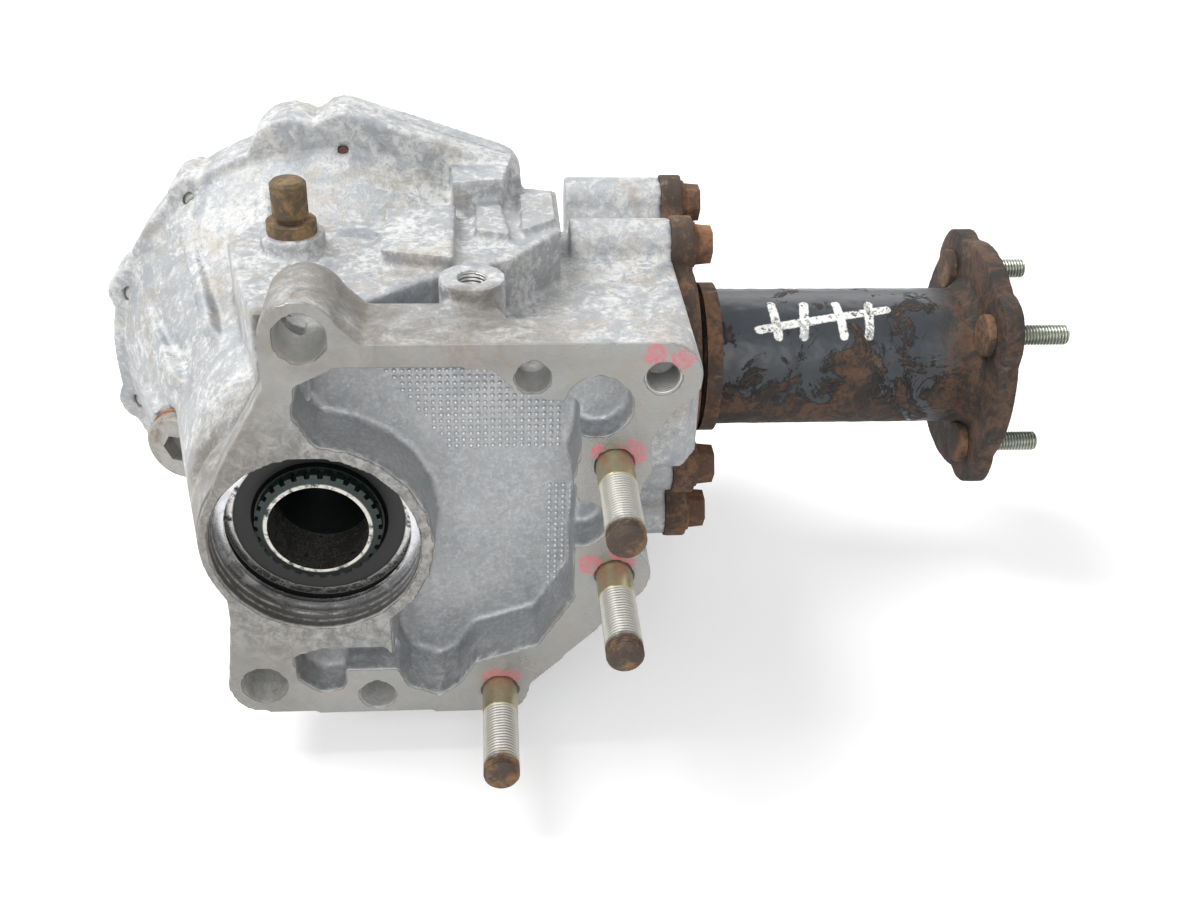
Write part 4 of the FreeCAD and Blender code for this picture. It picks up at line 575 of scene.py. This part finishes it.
def dress(piece, material, body, slot, *nodes, crisp=None):
    """Give a finished piece its material and body, and hide the CAD nodes it stands for.

    Edges sharper than crisp, in degrees, stay sharp in smooth shading. The slot is not used."""
    piece.data.materials.clear()
    piece.data.materials.append(finish(material))
    for face in piece.data.polygons:
        face.use_smooth = True
        face.material_index = 0
    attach(piece, body)
    if nodes:
        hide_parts(*nodes)
    if crisp is not None:
        with editing(piece.data) as shape:
            for edge in shape.edges:
                if len(edge.link_faces) == 2 and edge.calc_face_angle(0.0) > math.radians(crisp):
                    edge.smooth = False


def cone(shape, sides, low_radius, high_radius, depth):
    return bmesh.ops.create_cone(
        shape, cap_ends=True, segments=sides, radius1=low_radius, radius2=high_radius, depth=depth)


def aimed(centre, axis):
    """The placing that puts the origin at centre and +Z along axis."""
    turn = Vector((0, 0, 1)).rotation_difference(Vector(axis)).to_matrix().to_4x4()
    return Matrix.Translation(Vector(centre)) @ turn


def cylinder_cutter(centre, axis, radius, low, high, sides=96):
    """A closed cylinder from low to high along axis, measured from centre."""
    shape = bmesh.new()
    cone(shape, sides, radius, radius, high - low)
    shape.transform(aimed(centre, axis) @ Matrix.Translation((0, 0, (low + high) / 2)))
    return linked_shape("cutter", shape)


def mount_cutter(name, low, high, sides=64):
    """A cutter for a round mount, from low to high along the way into the part."""
    mount = MOUNTS[name]
    return cylinder_cutter(
        mount["pos_m"], -Vector(mount["axis"]), mount["dims"]["r_mm"] * MM, low, high, sides)


def joined(pieces, name):
    if len(pieces) > 1:
        with bpy.context.temp_override(active_object=pieces[0], selected_editable_objects=pieces):
            bpy.ops.object.join()
    pieces[0].name = name
    return pieces[0]


def cast_form(node_name, name, voxel, rounds, target, cutters=()):
    """A casting: the CAD form remeshed and softened, with its machined bores cut again."""
    piece = closed_copy(node_name, name + "_rough")
    remesh = piece.modifiers.new("remesh", "REMESH")
    remesh.mode = "VOXEL"
    remesh.voxel_size = voxel
    smooth = piece.modifiers.new("smooth", "SMOOTH")
    smooth.factor = 0.5
    smooth.iterations = rounds
    piece = baked(piece, name + "_soft")
    triangles = sum(len(face.vertices) - 2 for face in piece.data.polygons)
    if triangles > target:
        thin = piece.modifiers.new("thin", "DECIMATE")
        thin.ratio = target / triangles
        piece = baked(piece, name + "_thin")
    if cutters:
        cutter = joined(list(cutters), "cutters")
        cut = piece.modifiers.new("cut", "BOOLEAN")
        cut.operation = "DIFFERENCE"
        cut.solver = "EXACT"
        cut.object = cutter
        piece = baked(piece, name)
        bpy.data.objects.remove(cutter)
    piece.name = name
    return piece


def node_islands(name):
    """Lowest and highest corners of each separate solid of a CAD node."""
    shape = bmesh.new()
    shape.from_mesh(frame["nodes"][name].data)
    bmesh.ops.remove_doubles(shape, verts=shape.verts, dist=0.002 * MM)
    seen, boxes = set(), []
    for start in shape.verts:
        if start in seen:
            continue
        stack, found = [start], []
        seen.add(start)
        while stack:
            vertex = stack.pop()
            found.append(vertex.co.copy())
            for edge in vertex.link_edges:
                other = edge.other_vert(vertex)
                if other not in seen:
                    seen.add(other)
                    stack.append(other)
        lows = Vector([min(point[i] for point in found) for i in range(3)])
        highs = Vector([max(point[i] for point in found) for i in range(3)])
        boxes.append((lows, highs))
    shape.free()
    return boxes


# ---- Geometry node trees ----
def geometry_tree(name, inputs, fill):
    """The geometry tree of that name; fill(sheet, inputs by name) returns its shape."""
    def coated(sheet, given):
        real = sheet.add("GeometryNodeRealizeInstances", {"Geometry": fill(sheet, given)})
        material = {"Geometry": real, "Material": given["Material"]}
        return {"Geometry": sheet.add("GeometryNodeSetMaterial", material)}

    shape = {"Geometry": "NodeSocketGeometry"}
    return node_group(
        name, {**shape, **inputs, "Material": "NodeSocketMaterial"}, shape, coated, "GeometryNodeTree")


def run_tree(tree, name, values, points=()):
    """Evaluate a geometry tree on a mesh of loose points and return the plain result."""
    mesh = bpy.data.meshes.new(name + "_host")
    mesh.from_pydata([tuple(point) for point in points], [], [])
    host = link_object(name + "_host", mesh)
    modifier = host.modifiers.new("nodes", "NODES")
    modifier.node_group = tree
    for item in tree.interface.items_tree:
        if item.item_type == "SOCKET" and item.in_out == "INPUT" and item.name in values:
            modifier[item.identifier] = values[item.name]
    return baked(host, name)


def copies_tree():
    """One piece copied to every point of the host mesh."""
    def fill(sheet, given):
        source = sheet.add(
            "GeometryNodeObjectInfo", {"As Instance": True, "Object": given["Piece"]}, "Geometry")
        points = sheet.add("GeometryNodeMeshToPoints", {"Mesh": given["Geometry"]})
        return sheet.add("GeometryNodeInstanceOnPoints", {"Points": points, "Instance": source})

    return geometry_tree("placed_copies", {"Piece": "NodeSocketObject"}, fill)


def placed_copies(part, name, places, material):
    """The part copied to every place, as one plain piece; the part itself goes."""
    piece = run_tree(copies_tree(), name, {"Piece": part, "Material": finish(material)}, places)
    bpy.data.objects.remove(part)
    with editing(piece.data) as shape:
        bmesh.ops.remove_doubles(shape, verts=shape.verts, dist=0.0005 * MM)
        bmesh.ops.recalc_face_normals(shape, faces=shape.faces)
    return piece


THREAD_SIDES = 40
ROWS_PER_TURN = 8


def thread_tree():
    """A round bar along +Z with a helical thread past its plain length, closed at both ends."""
    def fill(sheet, given):
        grid = sheet.add("GeometryNodeMeshGrid", {
            "Size X": 1.0, "Size Y": 1.0, "Vertices X": THREAD_SIDES + 1, "Vertices Y": given["Rows"]})
        x, y, _ = sheet.split(sheet.add("GeometryNodeInputPosition"))
        turn = (x + 0.5) * (2.0 * math.pi)
        height = (y + 0.5) * (given["High"] - given["Low"]) + given["Low"]
        winding = sheet.math("DIVIDE", height, given["Pitch"]) - sheet.math("DIVIDE", turn, 2.0 * math.pi)
        tooth = sheet.math("ABSOLUTE", sheet.math("FRACT", winding) - 0.5) * 2.0
        on_thread = sheet.math("GREATER_THAN", height, given["Plain End"])
        radius = given["Radius"] - tooth * given["Depth"] * on_thread
        # chamfered end, then both end rows close on the axis
        slope = given["Radius"] - (given["Chamfer"] - (given["High"] - height))
        inside = sheet.math("LESS_THAN", sheet.math("ABSOLUTE", y), 0.4999)
        radius = fold("MINIMUM", (radius, slope)) * inside
        target = sheet.add("ShaderNodeCombineXYZ", {
            0: radius * sheet.math("COSINE", turn), 1: radius * sheet.math("SINE", turn), 2: height})
        moved = sheet.add("GeometryNodeSetPosition", {"Geometry": grid, "Position": target})
        return sheet.add("GeometryNodeMergeByDistance", {"Geometry": moved, "Distance": 0.0004 * MM})

    numbers = dict.fromkeys(("Radius", "Pitch", "Depth", "Low", "High", "Plain End", "Chamfer"), NUMBER)
    return geometry_tree("threaded_bar", {**numbers, "Rows": "NodeSocketInt"}, fill)


def threaded_bar(name, turn, material, radius, low, high, plain_end, chamfer):
    """One threaded bar, turned from +Z to its own direction."""
    pitch = sizes().coarse_pitch
    bar = run_tree(thread_tree(), name, {
        "Radius": radius, "Pitch": pitch, "Depth": pitch * 0.6, "Low": low, "High": high,
        "Plain End": plain_end, "Chamfer": chamfer, "Rows": int((high - low) / pitch * ROWS_PER_TURN) + 2,
        "Material": finish(material)})
    bar.data.transform(turn)
    return bar


def dots_tree():
    """Low domes on a square grid over a flat field whose left edge leans to the right going down."""
    def fill(sheet, given):
        counts = [
            sheet.math("FLOOR", sheet.math("DIVIDE", given[side], given["Pitch"])) + 1.0
            for side in ("Width", "Height")]
        grid = sheet.add("GeometryNodeMeshGrid", {
            "Size X": given["Width"], "Size Y": given["Height"], "Vertices X": counts[0],
            "Vertices Y": counts[1]})
        dome = sheet.add("GeometryNodeMeshUVSphere", {"Segments": 8, "Rings": 4, "Radius": given["Radius"]})
        size = sheet.add(
            "FunctionNodeRandomValue", {"Min": 0.86, "Max": 1.06, "Seed": 4}, output=1, data_type="FLOAT")
        x, y, _ = sheet.split(sheet.add("GeometryNodeInputPosition"))
        from_left = x + given["Width"] * 0.5
        below_top = given["Height"] * 0.5 - y
        kept = sheet.math("GREATER_THAN", from_left, below_top * given["Lean"] - 0.1 * MM)
        return sheet.add("GeometryNodeInstanceOnPoints", {
            "Points": grid, "Instance": dome, "Scale": size, "Selection": kept})

    inputs = dict.fromkeys(("Width", "Height", "Pitch", "Radius", "Lean"), NUMBER)
    return geometry_tree("cast_dots", inputs, fill)


# ---- Castings ----
CASE_TRIANGLES, COVER_TRIANGLES, HOUSING_TRIANGLES, TUBE_TRIANGLES = 190000, 120000, 90000, 150000


class TRANSFER_OT_main_case(bpy.types.Operator):
    """Cast the main case: rough skin over the CAD form, machined holes cut sharp"""

    bl_idname = "transfer.main_case"
    bl_label = "Main case"

    def execute(self, context):
        cutters = []
        for name in FACE_HOLES:
            half = MOUNTS[name]["dims"]["length_mm"] * MM / 2
            cutters.append(mount_cutter(name, -half - 2 * MM, half - 0.2 * MM))
        cutters.append(mount_cutter("input_bore", -5 * MM, 24 * MM, sides=128))
        cutters.append(mount_cutter("sensor_boss", -20 * MM, 15 * MM))
        # a wide disc mills the mating face flat again
        cutters.append(cylinder_cutter((0, 0, 0), AXIS_Y, 300 * MM, -20 * MM, 0.05 * MM, sides=8))
        piece = cast_form("main_case", "cast_main_case", sizes().casting_voxel, 3, CASE_TRIANGLES, cutters)
        dress(piece, "cast_case", "case", "cast_case", "main_case", crisp=42.0)
        return {"FINISHED"}


class TRANSFER_OT_side_cover(bpy.types.Operator):
    """Cast the rear side cover"""

    bl_idname = "transfer.side_cover"
    bl_label = "Side cover"

    def execute(self, context):
        low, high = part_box("cover_oil_seal")
        centre = (0, (low.y + high.y) / 2, 0)
        seat = cylinder_cutter(centre, AXIS_Y, (high.x - low.x) / 2, -8 * MM, 20 * MM, 128)
        piece = cast_form(
            "side_cover", "cast_side_cover", sizes().casting_voxel, 3, COVER_TRIANGLES, [seat])
        dress(piece, "cast_cover", "case", "cast_cover", "side_cover", crisp=42.0)
        return {"FINISHED"}


class TRANSFER_OT_extension_housing(bpy.types.Operator):
    """Cast the rusty iron extension housing that carries the pinion bearings"""

    bl_idname = "transfer.extension_housing"
    bl_label = "Extension housing"

    def execute(self, context):
        low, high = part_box("extension_oil_seal")
        centre = ((low.x + high.x) / 2, OUTPUT_Y, 0)
        seat = cylinder_cutter(centre, AXIS_X, (high.z - low.z) / 2, -4 * MM, 30 * MM, 96)
        piece = cast_form(
            "extension_housing", "cast_extension_housing", IRON_VOXEL, 2, HOUSING_TRIANGLES, [seat])
        dress(piece, "rusty_iron", "case", "rusty_iron", "extension_housing", crisp=42.0)
        return {"FINISHED"}


class TRANSFER_OT_companion_flange(bpy.types.Operator):
    """Forge the long tube and its lobed flange, scaled with rust"""

    bl_idname = "transfer.companion_flange"
    bl_label = "Companion flange"

    def execute(self, context):
        piece = cast_form("companion_flange", "forged_companion_flange", IRON_VOXEL, 2, TUBE_TRIANGLES)
        scaly = piece.modifiers.new("scale", "DISPLACE")
        pattern = bpy.data.textures.new("rust_scale", "CLOUDS")
        pattern.noise_scale = 5 * MM
        pattern.noise_depth = 4
        scaly.texture = pattern
        scaly.texture_coords = "LOCAL"
        scaly.mid_level = 0.75
        scaly.strength = 0.5 * MM
        piece = baked(piece, "forged_companion_flange")
        dress(piece, "painted_tube", "output", "painted_tube", "companion_flange", crisp=50.0)
        return {"FINISHED"}


# ---- Repeated detail ----
# left, right, lowest and highest edge of each dotted field in millimetres, and how far its left side leans
DOT_FIELDS = ((24.0, 78.0, 24.0, 52.0, 0.65), (75.5, 82.5, -40.0, 8.0, 0.0))


class TRANSFER_OT_pocket_dots(bpy.types.Operator):
    """Cast dots on the floor of the pocket"""

    bl_idname = "transfer.pocket_dots"
    bl_label = "Pocket dots"

    def execute(self, context):
        fields = []
        for left, right, low, high, lean in DOT_FIELDS:
            field = run_tree(dots_tree(), "dots", {
                "Width": (right - left) * MM, "Height": (high - low) * MM, "Pitch": sizes().dot_pitch,
                "Radius": sizes().dot_radius, "Lean": lean, "Material": finish("cast_dots")})
            centre = Vector(((left + right) / 2 * MM, sizes().dot_floor, (low + high) / 2 * MM))
            field.data.transform(Matrix.Translation(centre) @ TURN_OUT)
            fields.append(field)
        dress(joined(fields, "pocket_dots"), "cast_dots", "case", "cast_case")
        return {"FINISHED"}


class TRANSFER_OT_mating_studs(bpy.types.Operator):
    """Three long studs of the mating face: plain shank, then a thread"""

    bl_idname = "transfer.mating_studs"
    bl_label = "Mating studs"

    def execute(self, context):
        low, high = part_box("mating_studs")
        places = [(MOUNTS[name]["pos_m"][0], 0.0, MOUNTS[name]["pos_m"][2]) for name in STUDS]
        bar = threaded_bar(
            "mating_stud_bar", TURN_OUT, "stud_zinc", MOUNTS[STUDS[0]]["dims"]["r_mm"] * MM,
            -high.y + 1 * MM, -low.y, sizes().mating_plain, 1.4 * MM)
        piece = placed_copies(bar, "threaded_mating_studs", places, "stud_zinc")
        dress(piece, "stud_zinc", "case", "stud_zinc", "mating_studs", crisp=60.0)
        return {"FINISHED"}


HEAD_THICK = 2.9 * MM


class TRANSFER_OT_flange_studs(bpy.types.Operator):
    """Four studs of the companion flange, with their round heads"""

    bl_idname = "transfer.flange_studs"
    bl_label = "Flange studs"

    def execute(self, context):
        pattern = MOUNTS["companion_flange_studs"]
        boxes = node_islands("flange_studs")
        places = [((low + high) / 2).to_tuple() for low, high in boxes]
        low, high = boxes[0]
        half = (high.x - low.x) / 2
        face = pattern["pos_m"][0] - (low.x + high.x) / 2
        bar = threaded_bar(
            "flange_stud_bar", TURN_ALONG, "flange_stud_zinc", pattern["dims"]["stud_r_mm"] * MM,
            face - 7 * MM, half, face + 1.0 * MM, 1.0 * MM)
        threads = placed_copies(bar, "threaded_flange_studs", places, "flange_stud_zinc")
        dress(threads, "flange_stud_zinc", "output", "flange_stud_zinc", "flange_studs", crisp=60.0)
        head = round_head((high.y - low.y) / 2, HEAD_THICK, 0.8 * MM)
        head.data.transform(Matrix.Translation((HEAD_THICK / 2 - half, 0, 0)) @ TURN_ALONG)
        heads = placed_copies(head, "flange_stud_heads", places, "rusty_iron")
        dress(heads, "rusty_iron", "output", "rusty_iron", crisp=60.0)
        return {"FINISHED"}


def round_head(radius, thick, edge):
    """A round stud head, its outer rim rounded."""
    shape = bmesh.new()
    cone(shape, 40, radius, radius, thick)
    rim = [line for line in shape.edges if all(vertex.co.z < 0 for vertex in line.verts)]
    bmesh.ops.bevel(shape, geom=rim, offset=edge, segments=3, profile=0.5, affect="EDGES")
    return linked_shape("head", shape)


def hex_head(across, height, washer):
    """A bolt head below the origin along +Z: washer face, hexagon, chamfered crown."""
    shape = bmesh.new()
    corner = across / math.sqrt(3)
    made = cone(shape, 6, corner, corner, height)
    bmesh.ops.translate(shape, verts=made["verts"], vec=(0, 0, -height / 2))
    bmesh.ops.bevel(
        shape, geom=list(shape.edges), offset=height * 0.07, segments=2, profile=0.5, affect="EDGES")
    limit = across * 0.52
    for vertex in shape.verts:
        reach = math.hypot(vertex.co.x, vertex.co.y)
        if vertex.co.z > height * -0.25 and reach > limit:
            vertex.co.x *= limit / reach
            vertex.co.y *= limit / reach
    ring = cone(shape, 36, washer, washer * 0.97, height * 0.16)
    bmesh.ops.translate(shape, verts=ring["verts"], vec=(0, 0, height * -0.92))
    return linked_shape("bolt_head", shape)


# CAD node, index of the bolt's axis, hexagon, head height, washer radius, thread (millimetres), finish
HEX_BOLTS = (("extension_bolts", 0, 14.0, 7.8, 9.0, 10.0, "rusty_bolt"),
             ("cover_bolts", 1, 12.0, 5.5, 7.4, 8.0, "cover_bolt"))


class TRANSFER_OT_hex_bolts(bpy.types.Operator):
    """Rusty hex bolts of the extension housing and plated bolts of the side cover"""

    bl_idname = "transfer.hex_bolts"
    bl_label = "Hex bolts"

    def execute(self, context):
        for node, axis, across, height, washer, thread, coat in HEX_BOLTS:
            turn = TURN_ALONG if axis == 0 else Matrix.Rotation(math.radians(-90), 4, "X")
            places = []
            for low, high in node_islands(node):
                top = (low + high) / 2
                top[axis] = high[axis]
                places.append(top.to_tuple())
            reach = high[axis] - low[axis]
            head = hex_head(across * MM, height * MM, washer * MM)
            head.data.transform(turn)
            # the thread points away from the head, so the bar is turned over
            over = turn @ Matrix.Rotation(math.pi, 4, "X")
            shank = threaded_bar(node + "_shank", over, coat, (thread / 2 - 0.15) * MM,
                                 (height - 0.5) * MM, reach, reach * 0.45, 1.0 * MM)
            bolt = joined([head, shank], node + "_bolt")
            piece = placed_copies(bolt, node + "_hex", places, coat)
            slot = frame["nodes"][node].material_slots[0].name.removeprefix("finish_")
            dress(piece, coat, "case", slot, node, crisp=35.0)
        return {"FINISHED"}


def hole_thread(name, centre, inward, radius, length):
    """The threaded wall of a tapped hole, as a thin sleeve just inside the hole."""
    pitch = sizes().coarse_pitch
    shape = bmesh.new()
    move = aimed(centre, inward)

    def ring(height, depth):
        """One turn of points, each depth(side share) inside the hole's wall."""
        made = []
        for side in range(THREAD_SIDES):
            angle = 2 * math.pi * side / THREAD_SIDES
            reach = radius - depth(side / THREAD_SIDES)
            point = Vector((reach * math.cos(angle), reach * math.sin(angle), height))
            made.append(shape.verts.new(move @ point))
        return made

    rings = []
    rows = int(length / pitch * ROWS_PER_TURN)
    for row in range(rows + 1):
        height = length * row / rows
        rings.append(ring(height, lambda share: (
            abs((height / pitch - share) % 1.0 - 0.5) * 2 * pitch * 0.42 - 0.05 * MM)))
    rings += [ring(height, lambda share: -0.5 * MM) for height in (length, 0.0)]
    for index, first in enumerate(rings):
        second = rings[(index + 1) % len(rings)]
        for side in range(THREAD_SIDES):
            after = (side + 1) % THREAD_SIDES
            shape.faces.new((first[side], first[after], second[after], second[side]))
    bmesh.ops.recalc_face_normals(shape, faces=shape.faces)
    dress(linked_shape(name, shape), "cut_thread", "case", "cast_case")


class TRANSFER_OT_hole_threads(bpy.types.Operator):
    """Threads of the tapped hole and of the upright boss"""

    bl_idname = "transfer.hole_threads"
    bl_label = "Hole threads"

    def execute(self, context):
        tapped, boss = MOUNTS["tapped_hole"], MOUNTS["sensor_boss"]
        start = Vector(tapped["pos_m"])
        start.y = 0.9 * MM
        hole_thread("tapped_hole_thread", start, AXIS_Y, tapped["dims"]["r_mm"] * MM,
                    (tapped["dims"]["length_mm"] - 1.5) * MM)
        top = Vector(boss["pos_m"]) + Vector((0, 0, 7.2 * MM))
        hole_thread("upright_boss_thread", top, (0, 0, -1), boss["dims"]["r_mm"] * MM, 14 * MM)
        return {"FINISHED"}


# ---- Pieces that keep their CAD mesh ----
NODE_FINISHES = {
    "bearing_steel": ("input_snap_ring", "pinion_spacer", "pinion_shim"),
    "bolt_steel": ("ring_gear_bolts", "pinion_nut", "pinion_washer"),
    "breather_steel": ("breather",),
    "cover_bolt": ("cover_dowels",),
    "front_seal": ("input_oil_seal",),
    "gasket_metal": ("filler_gasket", "drain_gasket"),
    "gear_steel": ("ring_gear", "pinion_shaft"),
    "hub_steel": ("input_shaft",),
    "plug_steel": ("filler_plug", "drain_plug"),
    "rusty_iron": ("dust_deflector",),
    "seal_rubber": ("extension_o_ring", "extension_oil_seal", "cover_oil_seal"),
}


class TRANSFER_OT_node_finishes(bpy.types.Operator):
    """Finish every CAD piece that keeps its own mesh"""

    bl_idname = "transfer.node_finishes"
    bl_label = "Finishes of the plain pieces"

    def execute(self, context):
        finishes = {name: material for material, names in NODE_FINISHES.items() for name in names}
        finishes.update({name: "bearing_steel" for name in frame["nodes"] if "bearing" in name})
        for name, material in finishes.items():
            for slot in frame["nodes"][name].material_slots:
                slot.material = finish(material)
        return {"FINISHED"}


# tone, roughness, metal, streaks, dirt, and the dirt's own tone where it isn't the common one
PLAIN_METALS = {
    "cast_dots": ((0.62, 0.63, 0.64), 0.38, 0.55, 0.2, 0.1),
    "bolt_steel": ((0.42, 0.41, 0.38), 0.4, 0.9, 0.25, 0.4),
    "bearing_steel": ((0.62, 0.63, 0.65), 0.22, 1.0, 0.15, 0.15),
    "gear_steel": ((0.30, 0.29, 0.28), 0.28, 1.0, 0.2, 0.2),
    "cut_thread": ((0.45, 0.45, 0.44), 0.35, 0.9, 0.2, 0.3),
    "seal_rubber": ((0.020, 0.020, 0.021), 0.5, 0.0, 0.3, 0.3, (0.05, 0.05, 0.05)),
    "plug_steel": ((0.33, 0.32, 0.30), 0.5, 0.6, 0.3, 0.5, (0.20, 0.12, 0.06)),
    "gasket_metal": ((0.40, 0.22, 0.12), 0.6, 0.4, 0.3, 0.6, (0.30, 0.14, 0.05)),
}


class TRANSFER_OT_materials(bpy.types.Operator):
    """Mix every finish that the pieces wear"""

    bl_idname = "transfer.materials"
    bl_label = "Finishes"

    def execute(self, context):
        tint = colours()
        new_material("cast_case", case_look)
        new_material("cast_cover", cast_look, 0.9, 0.8, 0.7)
        new_material("painted_tube", tube_look)
        new_material("cover_bolt", cover_bolt_look)
        for name, settings in {
                "rusty_iron": (tint.rust_dark, tint.rust_warm, 0.55, 0.5 * MM),
                "rusty_bolt": ((0.085, 0.045, 0.028), (0.24, 0.115, 0.05), 0.3, 0.2 * MM),
                "breather_steel": ((0.09, 0.065, 0.035), (0.24, 0.15, 0.07), 0.5, 0.2 * MM)}.items():
            new_material(name, rust_look, *settings)
        for name, settings in PLAIN_METALS.items():
            new_material(name, metal_look, *settings)
        new_material("hub_steel", ringed_look, (0.030, 0.040, 0.037), (0.62, 0.60, 0.55),
                     (15.8 * MM, 17.6 * MM), 30 * MM, 0.34, 0.7)
        new_material("front_seal", ringed_look, (0.008, 0.008, 0.009), (0.66, 0.65, 0.62),
                     (27.9 * MM, 30.6 * MM), 60 * MM, 0.5, 0.0)
        plain = sizes().mating_plain
        # the last pair of each stud finish bounds the painted shade in the thread grooves
        new_material(
            "stud_zinc", stud_look, tint.zinc, (0.44, 0.43, 0.39), "y", (-plain, -plain - 1 * MM),
            (-33 * MM, -36.5 * MM), [MOUNTS[name]["pos_m"] for name in STUDS], (5.72 * MM, 5.42 * MM))
        flange_spots = [(low + high) / 2 for low, high in node_islands("flange_studs")]
        # these studs have no rusted end, so its limits lie beyond the part
        new_material(
            "flange_stud_zinc", stud_look, (0.36, 0.40, 0.33), (0.50, 0.54, 0.46), "x",
            (0.0, 1 * MM), (400 * MM, 410 * MM), flange_spots, (3.78 * MM, 3.45 * MM))
        return {"FINISHED"}


# ---- Stage ----
def seen_directly(sheet):
    """White for camera, glossy and transmission rays, black for the light that falls on the object."""
    rays = sheet.signals(sheet.node("ShaderNodeLightPath"))
    names = ("Is Camera Ray", "Is Glossy Ray", "Is Transmission Ray")
    return fold("MAXIMUM", [rays[name] for name in names])


def white_floor():
    """A pale floor that keeps the object's shadow; seen straight or reflected, its lit part is white."""
    material = bpy.data.materials.new("floor_white")
    material.use_nodes = True
    tree = material.node_tree
    sheet = Sheet(tree)
    place = sheet.add("ShaderNodeTexCoord", output=OBJECT_PLACE)
    far = sheet.add("ShaderNodeVectorMath", {0: place}, output=1, operation="LENGTH")
    glow = far.step(0.45, 1.6) * (0.75 - 0.34) + 0.34
    sheet.feed(tree.nodes["Principled BSDF"].inputs, {
        "Base Color": (0.80, 0.80, 0.80), "Roughness": 0.9, "Specular IOR Level": 0.0,
        "Emission Color": seen_directly(sheet) * glow, "Emission Strength": 1.0})
    return material


def add_lamp(name, centre, offset, power, size):
    """An area lamp that looks at the centre from offset away."""
    light = bpy.data.lights.new(name, "AREA")
    light.energy = power
    light.size = size
    holder = bpy.data.objects.new(name, light)
    bpy.context.scene.collection.objects.link(holder)
    holder.location = centre + Vector(offset)
    holder.rotation_euler = (-Vector(offset)).to_track_quat("-Z", "Y").to_euler()


FLOOR_HALF = 6.0
CAMERA_PLACE = (0.0558, -0.337, 0.2516)
CAMERA_RIGHT = (0.9964, -0.0787, 0.0338)
CAMERA_BACK = (-0.0845, -0.8388, 0.5379)


class TRANSFER_OT_stage(bpy.types.Operator):
    """White floor, soft light and the camera"""

    bl_idname = "transfer.stage"
    bl_label = "Stage"

    def execute(self, context):
        low, high = CAD_BOX
        centre = (Vector(low) + Vector(high)) / 2
        level = Vector(low).z - 0.5 * MM
        mesh = bpy.data.meshes.new("floor")
        corners = [(x * FLOOR_HALF, y * FLOOR_HALF, level) for x, y in ((-1, -1), (1, -1), (1, 1), (-1, 1))]
        mesh.from_pydata(corners, [], [(0, 1, 2, 3)])
        mesh.materials.append(white_floor())
        link_object("floor", mesh)
        add_lamp("key_light", centre, (-0.9, 0.25, 1.4), 27.0, 0.9)
        add_lamp("front_light", centre, (-0.2, -1.5, 0.9), 14.0, 1.4)
        add_lamp("rim_light", centre, (0.6, 1.4, 1.2), 7.0, 1.2)
        world = bpy.data.worlds.new("studio")
        world.use_nodes = True
        sheet = Sheet(world.node_tree)
        sky = sheet.blend(seen_directly(sheet), (0.46, 0.46, 0.465), (1.0, 1.0, 1.0))
        sheet.feed(world.node_tree.nodes["Background"].inputs, {"Color": sky, "Strength": 1.0})
        context.scene.world = world
        context.scene.view_settings.view_transform = "Standard"
        camera = bpy.data.cameras.new("camera")
        camera.sensor_width = 36.0
        camera.lens = 39.0
        camera.clip_start = 0.01
        holder = bpy.data.objects.new("camera", camera)
        context.scene.collection.objects.link(holder)
        right = Vector(CAMERA_RIGHT).normalized()
        back = Vector(CAMERA_BACK).normalized()
        up = back.cross(right).normalized()
        right = up.cross(back).normalized()
        turn = Matrix((right, up, back)).transposed().to_4x4()
        holder.matrix_world = Matrix.Translation(CAMERA_PLACE) @ turn
        context.scene.camera = holder
        return {"FINISHED"}


# ---- Panel and registration ----
STEPS = (
    TRANSFER_OT_materials, TRANSFER_OT_main_case, TRANSFER_OT_pocket_dots, TRANSFER_OT_side_cover,
    TRANSFER_OT_extension_housing, TRANSFER_OT_companion_flange, TRANSFER_OT_mating_studs,
    TRANSFER_OT_flange_studs, TRANSFER_OT_hex_bolts, TRANSFER_OT_hole_threads, TRANSFER_OT_node_finishes,
    TRANSFER_OT_stage,
)


class TRANSFER_PT_panel(bpy.types.Panel):
    """Lists the steps and their settings"""

    bl_idname = "TRANSFER_PT_panel"
    bl_label = "Transfer case"
    bl_space_type = "VIEW_3D"
    bl_region_type = "UI"
    bl_category = "Transfer case"

    def draw(self, context):
        for group in (context.scene.transfer_case_sizes, context.scene.transfer_case_colours):
            for name in group.__annotations__:
                self.layout.prop(group, name)
        for step in STEPS:
            self.layout.operator(step.bl_idname)


CLASSES = (TransferCaseSizes, TransferCaseColours, *STEPS, TRANSFER_PT_panel)


def register():
    for item in CLASSES:
        bpy.utils.register_class(item)
    bpy.types.Scene.transfer_case_sizes = bpy.props.PointerProperty(type=TransferCaseSizes)
    bpy.types.Scene.transfer_case_colours = bpy.props.PointerProperty(type=TransferCaseColours)


def unregister():
    del bpy.types.Scene.transfer_case_colours
    del bpy.types.Scene.transfer_case_sizes
    for item in reversed(CLASSES):
        bpy.utils.unregister_class(item)


def main():
    register()
    for step in STEPS:
        group, name = step.bl_idname.split(".")
        getattr(getattr(bpy.ops, group), name)()


if __name__ == "__main__":
    main()
